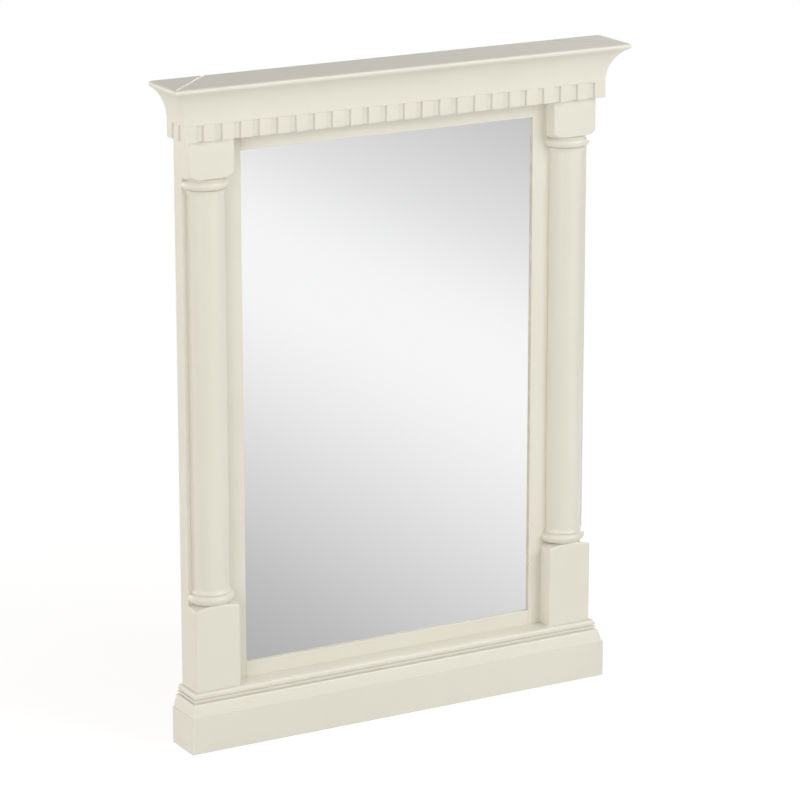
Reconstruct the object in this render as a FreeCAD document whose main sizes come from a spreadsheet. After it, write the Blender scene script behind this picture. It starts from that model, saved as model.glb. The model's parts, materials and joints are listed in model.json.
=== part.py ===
import FreeCAD, Part
import math
import os
import re

import Sketcher
from FreeCAD import Placement, Rotation, Vector

# Framed bathroom wall mirror: a flat glass in a rabbeted wooden frame, half columns on the stiles, a dentil
# course under a coved cornice, and a moulded plinth. Millimetres, +Z up, front towards -Y, with the origin at
# the bottom of the box, in its middle. Depths are counted from the wall, which the rear faces touch.

# Driving dimensions
SIZES = {
    # Whole mirror and its frame
    "overall_height": 914,
    "frame_width": 622,
    "frame_thickness": 22,
    "stile_width": 87,
    "top_rail_height": 46,
    "bottom_rail_reveal": 21,
    "lip_width": 8,
    "lip_thickness": 4,
    "overrun": 2,
    # Glass, backing and the step in which the turn buttons lie
    "glass_thickness": 4,
    "glass_clearance": 1.5,
    "backing_thickness": 5.5,
    "backing_clearance": 0.3,
    "step_width": 24,
    "setting_block_length": 30,
    # Half columns
    "column_width": 67,
    "column_depth": 23,
    "axis_sink": 2,
    "base_block_height": 120,
    "cap_block_height": 53.5,
    "shoulder_run": 18,
    "shoulder_drop": 9.5,
    "shoulder_radius": 21.8,
    "slope_start": 4,
    "slope_drop": 6.6,
    "shaft_radius": 26.8,
    "neck_radius": 27.8,
    "neck_height": 1.2,
    "ring_height": 13,
    "ring_radius": 6.6,
    "flare_reach": 2.6,
    "flare_height": 7,
    "flare_radius": 10.7,
    # Plinth
    "plinth_height": 82,
    "plinth_depth": 60,
    "plinth_moulding": 15,
    "splay_shoulder": 1.5,
    "splay_inset": 5.3,
    "splay_height": 14.7,
    "nose_inset": 8.2,
    "nose_height": 2.3,
    "nose_radius": 3,
    "quirk_height": 2.1,
    "fillet_inset": 8.4,
    "fillet_height": 2.8,
    "groove_inset": 9.8,
    "groove_height": 1.6,
    "bead_inset": 8.8,
    "bead_height": 7,
    "bead_radius": 4,
    # Frieze and dentils
    "frieze_height": 22,
    "dentil_strip": 4.8,
    "tooth_depth": 4.2,
    "tooth_width": 17,
    "return_gap": 5.8,
    # Cornice
    "cornice_height": 54,
    "cornice_overhang": 25,
    "cove_fillet": 2,
    "cove_reach": 10,
    "cove_rise": 32.5,
    "cove_radius": 57.8,
    "crown_radius": 36.7,
    "nosing_radius": 3.9,
    "nosing_quirk": 0.6,
    # Dowels and mitre splines
    "dowel_radius": 4,
    "dowel_length": 30,
    "dowel_end_gap": 1,
    "stile_dowel_inset": 14,
    "spline_length": 36,
    "spline_width": 24,
    "spline_thickness": 4,
    "spline_rear": 30,
    "joint_clearance": 0.05,
    # Rear screws
    "screw_length": 40,
    "screw_radius": 2,
    "screw_head_radius": 4,
    "screw_head_height": 2.4,
    "screw_end_gap": 1,
    # Turn buttons
    "button_length": 33,
    "button_width": 12,
    "button_thickness": 2,
    "button_play": 0.1,
    "button_bore_clearance": 0.08,
    "pivot_inset": 11,
    "pivot_radius": 2.1,
    "pivot_head_radius": 4.2,
    "pivot_head_height": 2.2,
    "pivot_length": 10,
    # Keyhole hangers
    "hanger_drop": 140,
    "hanger_length": 46,
    "hanger_width": 20,
    "hanger_thickness": 1.6,
    "hanger_fit": 0.1,
    "keyhole_radius": 4.5,
    "keyslot_radius": 2.3,
    "keyslot_length": 10,
    "head_pocket_margin": 1.5,
    "head_pocket_depth": 9,
    "hanger_screw_inset": 6,
    "hanger_screw_radius": 1.6,
    "hanger_screw_head_radius": 3.2,
    "hanger_screw_length": 14,
}

# Counts and shares
TOOTH_COUNT = 24
RETURN_TEETH = 3
DOWEL_SHARES = (0.28, 0.74)
BASE_SCREW_SHARES = (0.25, 0.68)
SHAFT_SCREW_SHARES = (0.25, 0.6)
CAP_SCREW_SHARE = 0.55
PLINTH_SCREW_SHARE = 0.45
RAIL_SCREW_SHARE = 0.24
RAIL_DOWEL_SHARE = 0.34
STILE_BUTTON_SHARES = {"low": 0.22, "high": 0.78}
RAIL_BUTTON_SHARE = 0.25
SETTING_BLOCK_SHARE = 0.25

# Places worked out from the driving dimensions
PLACES = {
    "cornice_low": "overall_height - cornice_height",
    "frieze_low": "cornice_low - frieze_height",
    "frame_half": "frame_width / 2",
    "sight_half": "frame_half - stile_width",
    "sight_width": "sight_half * 2",
    "sight_low": "plinth_height + bottom_rail_reveal",
    "sight_top": "cornice_low - top_rail_height",
    "rabbet_half": "sight_half + lip_width",
    "rabbet_low": "sight_low - lip_width",
    "rabbet_top": "sight_top + lip_width",
    "glass_front": "frame_thickness - lip_thickness",
    "glass_rear": "glass_front - glass_thickness",
    "backing_rear": "glass_rear - backing_thickness",
    "step_depth": "backing_rear - backing_clearance",
    "step_half": "rabbet_half + step_width",
    "step_low": "rabbet_low - step_width",
    "step_top": "rabbet_top + step_width",
    "glass_half": "rabbet_half - glass_clearance",
    "glass_low": "rabbet_low + glass_clearance",
    "glass_top": "rabbet_top - glass_clearance",
    "column_axis": "frame_half - column_width / 2",
    "column_front": "frame_thickness + column_depth",
    "axis_depth": "frame_thickness - axis_sink",
    "face_reach": "column_depth + axis_sink",
    "shaft_low": "plinth_height + base_block_height",
    "shaft_top": "frieze_low - cap_block_height",
    "shaft_length": "shaft_top - shaft_low",
    "ring_top": "neck_height + ring_height",
    "flare_top": "ring_top + flare_height",
    "column_dowel_depth": "axis_depth + face_reach / 2",
    "core_front": "plinth_depth - plinth_moulding",
    "plinth_half": "frame_half + plinth_moulding",
    "bead_low": "plinth_height - bead_height",
    "fillet_top": "bead_low - groove_height",
    "fillet_low": "fillet_top - fillet_height",
    "nose_top": "fillet_low - quirk_height",
    "splay_top": "nose_top - nose_height",
    "fascia_height": "splay_top - splay_height",
    "dentil_half": "frame_half + dentil_strip + tooth_depth",
    "dentil_front": "column_front + dentil_strip + tooth_depth",
    "return_tooth": "(dentil_front - return_gap * %d) / %d" % (RETURN_TEETH - 1, RETURN_TEETH),
    "total_depth": "dentil_front + cornice_overhang",
    "back_plane": "total_depth / 2",
    "cornice_half": "dentil_half + cornice_overhang",
    "mitre_end": "cornice_half - total_depth",
    "nosing_low": "overall_height - nosing_radius * 2",
    "dowel_depth": "(step_depth + frame_thickness) / 2",
    "dowel_bore": "dowel_radius + joint_clearance",
    "dowel_socket": "dowel_length / 2 + dowel_end_gap",
    "screw_bore": "screw_radius + joint_clearance",
    "screw_sink": "screw_head_radius + joint_clearance",
    "screw_end": "screw_length + screw_end_gap",
    "rail_screw_height": "(step_top + cornice_low) / 2",
    "plinth_screw_height": "plinth_height * %g" % PLINTH_SCREW_SHARE,
    "rail_screw_half": "sight_width * %g" % RAIL_SCREW_SHARE,
    "rail_dowel_half": "sight_width * %g" % RAIL_DOWEL_SHARE,
    "stile_dowel_half": "frame_half - stile_dowel_inset",
    "button_front": "step_depth - button_play",
    "button_rear": "button_front - button_thickness",
    "pivot_head_front": "button_rear - button_play",
    "pivot_half": "rabbet_half + pivot_inset",
    "pivot_low": "rabbet_low - pivot_inset",
    "pivot_top": "rabbet_top + pivot_inset",
    "hanger_half": "(frame_half + step_half) / 2",
    "hanger_height": "cornice_low - hanger_drop",
    "hanger_low": "hanger_height - hanger_length / 2",
    "hanger_top": "hanger_height + hanger_length / 2",
    "keyhole_height": "hanger_height - keyslot_length / 2",
    "keyslot_height": "hanger_height + keyslot_length / 2",
    "head_pocket_half": "keyhole_radius + head_pocket_margin",
}

# An arc arrives at its corner turning left or right of the way that the outline runs
LEFT, RIGHT = 1, -1
FACING_FRONT = Rotation(Vector(0, 0, 1), 180)
UPSIDE_DOWN = Rotation(Vector(1, 0, 0), 180)
ALONG = {
    "across": Rotation(Vector(0, 1, 0), 90),
    "inward": Rotation(Vector(1, 0, 0), 90),
    "up": Rotation(),
}

doc = FreeCAD.newDocument("bathroom_mirror")
pieces = []


def link(formula, own="places."):
    """Put each size's sheet before its name, as an expression of the document needs."""

    def with_sheet(word):
        name = word.group()
        if name in SIZES:
            return "dims." + name
        return own + name if name in PLACES else name

    return re.sub(r"[a-z]\w*", with_sheet, formula)


def fill_sheets():
    """Write the driving dimensions to one sheet and the places worked out from them to another."""
    dims = doc.addObject("Spreadsheet::Sheet", "dims")
    for row, (name, size) in enumerate(SIZES.items(), start=1):
        dims.set("A%d" % row, name)
        dims.set("B%d" % row, str(size))
        dims.setAlias("B%d" % row, name)
    doc.recompute()
    places = doc.addObject("Spreadsheet::Sheet", "places")
    for row, (name, formula) in enumerate(PLACES.items(), start=1):
        places.set("A%d" % row, name)
        places.setAlias("B%d" % row, name)
        places.set("B%d" % row, "=" + link(formula, own=""))
    doc.recompute()
    return places


places = fill_sheets()


def value(formula):
    """The number that a formula has now, from which a sketch is first drawn."""
    return float(places.evalExpression(link(formula, own="")))


def bind(thing, formulas):
    for prop, formula in formulas.items():
        thing.setExpression(prop, link(formula))


def put(thing, x, depth, z, rotation):
    """Place a thing's own origin at an x, a depth from the wall and a height."""
    thing.Placement = Placement(Vector(), rotation)
    bind(thing, {
        "Placement.Base.x": x,
        "Placement.Base.y": "back_plane - (%s)" % depth,
        "Placement.Base.z": z,
    })


def node(thing, label):
    """Name a finished sub-part, which is written to a file of its own."""
    thing.Label = label
    pieces.append(thing)
    return thing


def bar(name, left, right, rear, front, low, high):
    """A straight bar between two sides, two depths from the wall and two heights."""
    box = doc.addObject("Part::Box", name)
    put(box, left, front, low, Rotation())
    bind(box, {
        "Length": "(%s) - (%s)" % (right, left),
        "Width": "(%s) - (%s)" % (front, rear),
        "Height": "(%s) - (%s)" % (high, low),
    })
    return box


def peg(name, way, x, depth, z, radius, length):
    """A round bar from a point, across to the right, up, or inward from the wall to the front."""
    rod = doc.addObject("Part::Cylinder", name)
    put(rod, x, depth, z, ALONG[way])
    bind(rod, {"Radius": radius, "Height": length})
    return rod


def sink(name, x, z, wide, narrow, length):
    """A cone that narrows inward from the rear face."""
    cone = doc.addObject("Part::Cone", name)
    put(cone, x, "0", z, ALONG["inward"])
    bind(cone, {"Radius1": wide, "Radius2": narrow, "Height": length})
    return cone


def cut(name, base, tools):
    """A base with tools taken out of it."""
    joined = doc.addObject("Part::MultiFuse", name + "_tools")
    joined.Shapes = tools
    result = doc.addObject("Part::Cut", name)
    result.Base = base
    result.Tool = joined
    return result


def fuse(name, first, second):
    result = doc.addObject("Part::Fuse", name)
    result.Base = first
    result.Tool = second
    return result


def group(label, members):
    """Identical small pieces as one sub-part of separate solids."""
    gathered = doc.addObject("Part::Compound", label)
    gathered.Links = members
    return node(gathered, label)


def mirror(name, source):
    twin = doc.addObject("Part::Mirroring", name)
    twin.Source = source
    twin.Normal = Vector(1, 0, 0)
    return twin


def new_body(name, x, depth, z, rotation=FACING_FRONT):
    body = doc.addObject("PartDesign::Body", name)
    put(body, x, depth, z, rotation)
    return body


def new_sketch(body, name, role):
    """An empty sketch on one of the body's own planes."""
    sketch = body.newObject("Sketcher::SketchObject", name)
    plane = next(feature for feature in body.Origin.OriginFeatures if feature.Role == role)
    sketch.AttachmentSupport = (plane, "")
    sketch.MapMode = "FlatFace"
    return sketch


def arc_between(start, end, radius, turn):
    """The short arc from one point to another that turns left or right, as a sketch keeps it."""
    chord = end - start
    aside = Vector(-chord.y, chord.x, 0).normalize() * turn
    rise = math.sqrt(max(radius ** 2 - (chord.Length / 2) ** 2, 0))
    centre = (start + end) / 2 + aside * rise
    first, last = (start, end) if turn == LEFT else (end, start)
    angles = [math.atan2(point.y - centre.y, point.x - centre.x) for point in (first, last)]
    return Part.ArcOfCircle(Part.Circle(centre, Vector(0, 0, 1), radius), *angles)


def hold(sketch, kind, formula, *where):
    """Add a constraint whose size follows a formula."""
    index = sketch.addConstraint(Sketcher.Constraint(kind, *where, value(formula)))
    sketch.setExpression("Constraints[%d]" % index, link(formula))


def draw(sketch, corners):
    """A closed outline. A corner is x and y, then a radius and a turn where an arc arrives at it."""
    points = [Vector(value(corner[0]), value(corner[1]), 0) for corner in corners]
    edges = []
    for number, corner in enumerate(corners):
        start, end = points[number - 1], points[number]
        if len(corner) == 2:
            edges.append((sketch.addGeometry(Part.LineSegment(start, end)), 1, 2))
            continue
        radius, turn = corner[2:]
        index = sketch.addGeometry(arc_between(start, end, value(radius), turn))
        edges.append((index, 1, 2) if turn == LEFT else (index, 2, 1))
        hold(sketch, "Radius", radius, index)
    for number, corner in enumerate(corners):
        index, begin, finish = edges[number]
        following = edges[(number + 1) % len(edges)]
        sketch.addConstraint(Sketcher.Constraint("Coincident", index, finish, following[0], following[1]))
        hold(sketch, "DistanceX", corner[0], -1, 1, index, finish)
        hold(sketch, "DistanceY", corner[1], -1, 1, index, finish)


def draw_circle(sketch, radius):
    """A circle about the sketch's own origin."""
    index = sketch.addGeometry(Part.Circle(Vector(), Vector(0, 0, 1), value(radius)))
    sketch.addConstraint(Sketcher.Constraint("Coincident", index, 3, -1, 1))
    hold(sketch, "Radius", radius, index)


def box_corners(left, low, right, high):
    return [(left, low), (right, low), (right, high), (left, high)]


def pad(body, sketch, length, side="One side", reverse=False):
    feature = body.newObject("PartDesign::Pad", sketch.Name + "_pad")
    feature.Profile = sketch
    feature.SideType = side
    feature.Reversed = reverse
    bind(feature, {"Length": length})
    return feature


def pocket(body, sketch):
    """Cut a sketch through the whole body, both ways."""
    feature = body.newObject("PartDesign::Pocket", sketch.Name + "_pocket")
    feature.Profile = sketch
    feature.Type = "ThroughAll"
    feature.SideType = "Symmetric"
    return feature


def turn_round(body, sketch, kind):
    """Turn a sketch right round the body's own upright axis, adding or cutting."""
    feature = body.newObject("PartDesign::" + kind, sketch.Name + "_turned")
    feature.Profile = sketch
    feature.ReferenceAxis = (sketch, ["V_Axis"])
    feature.Angle = 360
    return feature


def between(low, high, share):
    """A formula for the place at a share of the way from one place to another."""
    return "%s + (%s - %s) * %g" % (low, high, low, share)


# Screws and dowels

LEFT_SCREWS = {
    "base_low": ("-column_axis", between("plinth_height", "shaft_low", BASE_SCREW_SHARES[0])),
    "base_high": ("-column_axis", between("plinth_height", "shaft_low", BASE_SCREW_SHARES[1])),
    "shaft_low": ("-column_axis", between("shaft_low", "shaft_top", SHAFT_SCREW_SHARES[0])),
    "shaft_high": ("-column_axis", between("shaft_low", "shaft_top", SHAFT_SCREW_SHARES[1])),
    "cap": ("-column_axis", between("shaft_top", "frieze_low", CAP_SCREW_SHARE)),
    "plinth_stile": ("-column_axis", "plinth_screw_height"),
    "plinth_rail": ("-rail_screw_half", "plinth_screw_height"),
    "frieze_stile": ("-column_axis", "rail_screw_height"),
    "frieze_rail": ("-rail_screw_half", "rail_screw_height"),
}
FRAME_DOWEL_HEIGHTS = {
    "bottom_a": between("0", "rabbet_low", DOWEL_SHARES[0]),
    "bottom_b": between("0", "rabbet_low", DOWEL_SHARES[1]),
    "top_a": between("rabbet_top", "cornice_low", DOWEL_SHARES[0]),
    "top_b": between("rabbet_top", "cornice_low", DOWEL_SHARES[1]),
}


def screw(name, x, z):
    head = sink(name + "_head", x, z, "screw_head_radius", "screw_radius", "screw_head_height")
    shank = peg(name + "_shank", "inward", x, "0", z, "screw_radius", "screw_length")
    return fuse(name, head, shank)


def screw_bores(name, screws):
    """Countersunk holes for rear screws through a stile or a rail."""
    tools = []
    for key in screws:
        x, z = LEFT_SCREWS[key]
        tools.append(sink("%s_%s_sink" % (name, key), x, z, "screw_sink", "screw_bore", "screw_head_height"))
        tools.append(peg("%s_%s_bore" % (name, key), "inward", x, "-overrun", z, "screw_bore",
                         "frame_thickness + overrun * 2"))
    return tools


def pilot(name, key):
    """The hole that a rear screw bites into, in front of the frame."""
    x, z = LEFT_SCREWS[key]
    return peg("%s_%s_pilot" % (name, key), "inward", x, "frame_thickness - overrun", z, "screw_bore",
               "screw_end - frame_thickness + overrun")


def upright_socket(name, x, depth, joint):
    """A hole for an upright dowel, as deep on both sides of the joint."""
    return peg(name, "up", x, depth, "%s - dowel_socket" % joint, "dowel_bore", "dowel_socket * 2")


def end_socket(name, x, z):
    """A hole for a dowel that lies across a frame joint, as deep on both sides of it."""
    return peg(name, "across", "%s - dowel_socket" % x, "dowel_depth", z, "dowel_bore", "dowel_socket * 2")


def rear_screws():
    left = [screw("screw_" + key, x, z) for key, (x, z) in LEFT_SCREWS.items()]
    group("rear_screws", left + [mirror(one.Name + "_right", one) for one in left])


def frame_dowels():
    left = [
        peg("frame_dowel_" + key, "across", "-sight_half - dowel_length / 2", "dowel_depth", z,
            "dowel_radius", "dowel_length")
        for key, z in FRAME_DOWEL_HEIGHTS.items()
    ]
    group("frame_dowels", left + [mirror(one.Name + "_right", one) for one in left])


def upright_dowel(name, x, depth, joint):
    return peg(name, "up", x, depth, "%s - dowel_length / 2" % joint, "dowel_radius", "dowel_length")


def column_dowels():
    left = [
        upright_dowel("column_dowel_" + joint, "-column_axis", "column_dowel_depth", joint)
        for joint in ("shaft_low", "shaft_top")
    ]
    group("column_dowels", left + [mirror(one.Name + "_right", one) for one in left])


def cornice_dowels():
    left = [
        upright_dowel("cornice_dowel_" + half, "-" + half, "dowel_depth", "cornice_low")
        for half in ("stile_dowel_half", "rail_dowel_half")
    ]
    group("cornice_dowels", left + [mirror(one.Name + "_right", one) for one in left])


# Frame


def pivot_bore(name, x, z):
    """The hole in the step for a turn button's pivot screw."""
    return peg(name, "inward", x, "step_depth - overrun", z, "pivot_radius + joint_clearance",
               "pivot_length + overrun + screw_end_gap")


def hanger_recess():
    """The shallow bed of the keyhole plate and the pocket behind it for a screw's head."""
    bed = bar("hanger_bed", "-hanger_half - hanger_width / 2 - hanger_fit",
              "-hanger_half + hanger_width / 2 + hanger_fit", "-overrun", "hanger_thickness",
              "hanger_low - hanger_fit", "hanger_top + hanger_fit")
    head_room = bar("hanger_head_room", "-hanger_half - head_pocket_half", "-hanger_half + head_pocket_half",
                    "-overrun", "hanger_thickness + head_pocket_depth", "keyhole_height - head_pocket_half",
                    "keyslot_height + head_pocket_half")
    pilots = [
        peg("hanger_pilot_" + end, "inward", "-hanger_half", "0", z, "hanger_screw_radius + joint_clearance",
            "hanger_screw_length + screw_end_gap")
        for end, z in HANGER_SCREW_HEIGHTS.items()
    ]
    return [bed, head_room] + pilots


def stiles():
    blank = bar("stile_blank", "-frame_half", "-sight_half", "0", "frame_thickness", "0", "cornice_low")
    tools = [
        bar("stile_rabbet", "-rabbet_half", "overrun - sight_half", "-overrun", "glass_front",
            "rabbet_low", "rabbet_top"),
        bar("stile_step", "-step_half", "overrun - sight_half", "-overrun", "step_depth",
            "step_low", "step_top"),
        upright_socket("stile_cornice_socket", "-stile_dowel_half", "dowel_depth", "cornice_low"),
    ]
    for key, z in FRAME_DOWEL_HEIGHTS.items():
        tools.append(end_socket("stile_socket_" + key, "-sight_half", z))
    tools += screw_bores("stile", [key for key in LEFT_SCREWS if not key.endswith("rail")])
    for key, share in STILE_BUTTON_SHARES.items():
        height = between("sight_low", "sight_top", share)
        tools.append(pivot_bore("stile_pivot_" + key, "-pivot_half", height))
    left = node(cut("stile", blank, tools + hanger_recess()), "left_stile")
    node(mirror("stile_twin", left), "right_stile")


def both_sides(tools):
    """Left-hand tools and their twins on the right."""
    return tools + [mirror(one.Name + "_twin", one) for one in tools]


def top_rail():
    blank = bar("top_blank", "-sight_half", "sight_half", "0", "frame_thickness", "sight_top", "cornice_low")
    rabbet = bar("top_rabbet", "-rabbet_half", "rabbet_half", "-overrun", "glass_front",
                 "sight_top - overrun", "rabbet_top")
    step = bar("top_step", "-step_half", "step_half", "-overrun", "step_depth",
               "sight_top - overrun", "step_top")
    tools = [
        end_socket("top_socket_" + key, "-sight_half", FRAME_DOWEL_HEIGHTS[key])
        for key in ("top_a", "top_b")
    ]
    tools.append(upright_socket("top_cornice_socket", "-rail_dowel_half", "dowel_depth", "cornice_low"))
    tools.append(pivot_bore("top_pivot", "-sight_width * %g" % RAIL_BUTTON_SHARE, "pivot_top"))
    tools += screw_bores("top", ["frieze_rail"])
    node(cut("top", blank, [rabbet, step] + both_sides(tools)), "top_rail")


def bottom_rail():
    blank = bar("bottom_blank", "-sight_half", "sight_half", "0", "frame_thickness", "0", "sight_low")
    rabbet = bar("bottom_rabbet", "-rabbet_half", "rabbet_half", "-overrun", "glass_front",
                 "rabbet_low", "sight_low + overrun")
    step = bar("bottom_step", "-step_half", "step_half", "-overrun", "step_depth",
               "step_low", "sight_low + overrun")
    tools = [
        end_socket("bottom_socket_" + key, "-sight_half", FRAME_DOWEL_HEIGHTS[key])
        for key in ("bottom_a", "bottom_b")
    ]
    tools.append(pivot_bore("bottom_pivot", "-sight_width * %g" % RAIL_BUTTON_SHARE, "pivot_low"))
    tools += screw_bores("bottom", ["plinth_rail"])
    node(cut("bottom", blank, [rabbet, step] + both_sides(tools)), "bottom_rail")


# Half columns


# How a block's end next to the shaft is turned: where the turning starts, how far it falls and its arc
ROUND_SHOULDER = ("face_reach", "shoulder_drop", ("shoulder_radius", RIGHT))
PLAIN_SLOPE = ("face_reach - slope_start", "slope_drop", ())


def turned_block(name, height, low_or_top, rotation, pilots, joint, turning):
    """A square block whose end next to the shaft is turned to a shoulder or a slope."""
    body = new_body(name, "-column_axis", "axis_depth", low_or_top, rotation)
    square = new_sketch(body, name + "_square", "XY_Plane")
    draw(square, box_corners("-column_width / 2", "axis_sink", "column_width / 2", "face_reach"))
    pad(body, square, height)
    shoulder = new_sketch(body, name + "_shoulder", "XZ_Plane")
    start, drop, arc = turning
    outer = "face_reach + shoulder_run"
    draw(shoulder, [
        (start, height + " + overrun"),
        (start, height),
        (outer, "%s - %s" % (height, drop)) + arc,
        (outer + " + overrun", "%s - %s" % (height, drop)),
        (outer + " + overrun", height + " + overrun"),
    ])
    turn_round(body, shoulder, "Groove")
    tools = [pilot(name, key) for key in pilots]
    tools.append(upright_socket(name + "_socket", "-column_axis", "column_dowel_depth", joint))
    left = node(cut(name + "_drilled", body, tools), "left_" + name)
    node(mirror(name + "_twin", left), "right_" + name)


def shaft_corners():
    """Half of the turned outline from the axis out, one end ring, the shaft and the other end ring."""
    top = "shaft_length"
    return [
        ("0", "0"),
        ("neck_radius", "0"),
        ("neck_radius", "neck_height"),
        ("neck_radius", "ring_top", "ring_radius", LEFT),
        ("shaft_radius + flare_reach", "ring_top"),
        ("shaft_radius", "flare_top", "flare_radius", RIGHT),
        ("shaft_radius", top + " - flare_top"),
        ("shaft_radius + flare_reach", top + " - ring_top", "flare_radius", RIGHT),
        ("neck_radius", top + " - ring_top"),
        ("neck_radius", top + " - neck_height", "ring_radius", LEFT),
        ("neck_radius", top),
        ("0", top),
    ]


def shafts():
    body = new_body("shaft", "-column_axis", "axis_depth", "shaft_low")
    profile = new_sketch(body, "shaft_profile", "XZ_Plane")
    draw(profile, shaft_corners())
    turn_round(body, profile, "Revolution")
    rear = new_sketch(body, "shaft_rear", "XY_Plane")
    reach = "(neck_radius + ring_radius + overrun)"
    draw(rear, box_corners("-" + reach, "-" + reach, reach, "axis_sink"))
    pocket(body, rear)
    tools = [pilot("shaft", key) for key in ("shaft_low", "shaft_high")]
    for joint in ("shaft_low", "shaft_top"):
        tools.append(upright_socket("shaft_socket_" + joint, "-column_axis", "column_dowel_depth", joint))
    left = node(cut("shaft_drilled", body, tools), "left_shaft")
    node(mirror("shaft_twin", left), "right_shaft")


def columns():
    turned_block("base_block", "base_block_height", "plinth_height", FACING_FRONT,
                 ("base_low", "base_high"), "shaft_low", PLAIN_SLOPE)
    shafts()
    turned_block("cap_block", "cap_block_height", "frieze_low", UPSIDE_DOWN,
                 ("cap",), "shaft_top", ROUND_SHOULDER)


# Plinth


def plinth_corners(edge):
    """The plinth moulding's section, whose fascia stands at the edge."""

    def inset(by):
        return "%s - %s" % (edge, by)

    return [
        (inset("plinth_moulding"), "0"),
        (edge, "0"),
        (edge, "fascia_height"),
        (inset("splay_shoulder"), "fascia_height"),
        (inset("splay_inset"), "splay_top"),
        (inset("nose_inset"), "nose_top", "nose_radius", LEFT),
        (inset("groove_inset"), "nose_top"),
        (inset("groove_inset"), "fillet_low"),
        (inset("fillet_inset"), "fillet_low"),
        (inset("fillet_inset"), "fillet_top"),
        (inset("groove_inset"), "fillet_top"),
        (inset("groove_inset"), "bead_low"),
        (inset("bead_inset"), "bead_low"),
        (inset("bead_inset"), "plinth_height - bead_radius"),
        (inset("bead_inset") + " - bead_radius", "plinth_height", "bead_radius", LEFT),
        (inset("plinth_moulding"), "plinth_height"),
    ]


def front_moulding(name, corners, half, front, back):
    """A length of moulding along the front, mitred at both ends from the front corner to the back depth."""
    body = new_body(name, "0", "0", "0")
    profile = new_sketch(body, name + "_profile", "YZ_Plane")
    draw(profile, corners)
    pad(body, profile, "(%s) * 2" % half, side="Symmetric")
    run = "(%s) - (%s)" % (front, back)
    for side, sign in (("left", ""), ("right", "-")):
        mitre = new_sketch(body, "%s_%s_mitre" % (name, side), "XY_Plane")
        draw(mitre, [
            ("%s(%s - (%s) - overrun)" % (sign, half, run), "%s - overrun" % back),
            ("%s(%s + overrun)" % (sign, half), "%s - overrun" % back),
            ("%s(%s + overrun)" % (sign, half), "%s + overrun" % front),
        ])
        pocket(body, mitre)
    return body


def side_moulding(name, corners, half, front, back):
    """A length of moulding along the left side, from the wall to the mitre at the front corner."""
    body = new_body(name, "0", "0", "0")
    profile = new_sketch(body, name + "_profile", "XZ_Plane")
    draw(profile, corners)
    pad(body, profile, front, reverse=True)
    run = "(%s) - (%s)" % (front, back)
    mitre = new_sketch(body, name + "_mitre", "XY_Plane")
    draw(mitre, [
        ("%s - (%s) - overrun" % (half, run), "%s - overrun" % back),
        ("%s + overrun" % half, "%s + overrun" % front),
        ("%s - (%s) - overrun" % (half, run), "%s + overrun" % front),
    ])
    pocket(body, mitre)
    return body


def plinth():
    core = bar("plinth_bar", "-frame_half", "frame_half", "frame_thickness", "core_front",
               "0", "plinth_height")
    pilots = both_sides([pilot("plinth", key) for key in ("plinth_stile", "plinth_rail")])
    node(cut("plinth_drilled", core, pilots), "plinth_core")
    mitre = ("plinth_half", "plinth_depth", "core_front")
    node(front_moulding("plinth_face", plinth_corners("plinth_depth"), *mitre), "plinth_front")
    side = side_moulding("plinth_side", plinth_corners("plinth_half"), *mitre)
    left = node(side, "plinth_left_return")
    node(mirror("plinth_side_twin", left), "plinth_right_return")


# Frieze and dentils


def frieze():
    core = bar("frieze_bar", "-frame_half", "frame_half", "frame_thickness", "column_front",
               "frieze_low", "cornice_low")
    pilots = both_sides([pilot("frieze", key) for key in ("frieze_stile", "frieze_rail")])
    node(cut("frieze_drilled", core, pilots), "frieze_core")


def dentil_front():
    body = new_body("dentil_row", "0", "column_front", "frieze_low")
    strip = new_sketch(body, "dentil_strip_face", "XZ_Plane")
    half = "(frame_half + dentil_strip)"
    draw(strip, box_corners("-" + half, "0", half, "frieze_height"))
    pad(body, strip, "dentil_strip", reverse=True)
    tooth = new_sketch(body, "dentil_tooth_face", "XZ_Plane")
    draw(tooth, box_corners("-dentil_half", "0", "-dentil_half + tooth_width", "frieze_height"))
    raised = pad(body, tooth, "dentil_strip + tooth_depth", reverse=True)
    row = body.newObject("PartDesign::LinearPattern", "dentil_teeth")
    row.Originals = [raised]
    row.Direction = (tooth, ["H_Axis"])
    row.Occurrences = TOOTH_COUNT
    bind(row, {"Length": "dentil_half * 2 - tooth_width"})
    body.Tip = row
    node(body, "dentil_front")


def dentil_returns():
    """A strip with teeth from the wall to the front row, whose end tooth turns the corner."""
    body = new_body("dentil_side", "0", "0", "frieze_low")
    comb = new_sketch(body, "dentil_side_plan", "XY_Plane")
    floor = "frame_half + dentil_strip"
    corners = [("frame_half", "0")]
    for number in range(RETURN_TEETH):
        start = "(return_tooth + return_gap) * %d" % number
        last = number == RETURN_TEETH - 1
        end = "column_front" if last else start + " + return_tooth"
        if number:
            corners.append((floor, start))
        corners.append(("dentil_half", start))
        corners.append(("dentil_half", end))
        if not last:
            corners.append((floor, end))
    corners.append(("frame_half", "column_front"))
    draw(comb, corners)
    pad(body, comb, "frieze_height")
    left = node(body, "dentil_left_return")
    node(mirror("dentil_side_twin", left), "dentil_right_return")


# Cornice


def cornice_corners(edge, inner):
    """The cornice's section, whose foot stands at the edge: a cove of two arcs under a round nosing."""
    nose = edge + " + cornice_overhang"
    crown = nose + " - nosing_radius"
    return [
        (inner, "cornice_low"),
        (edge, "cornice_low"),
        (edge, "cornice_low + cove_fillet"),
        (edge + " + cove_reach", "cornice_low + cove_fillet + cove_rise", "cove_radius", RIGHT),
        (crown, "nosing_low - nosing_quirk", "crown_radius", RIGHT),
        (crown, "nosing_low"),
        (nose, "nosing_low + nosing_radius", "nosing_radius", LEFT),
        (crown, "overall_height", "nosing_radius", LEFT),
        (inner, "overall_height"),
    ]


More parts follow.
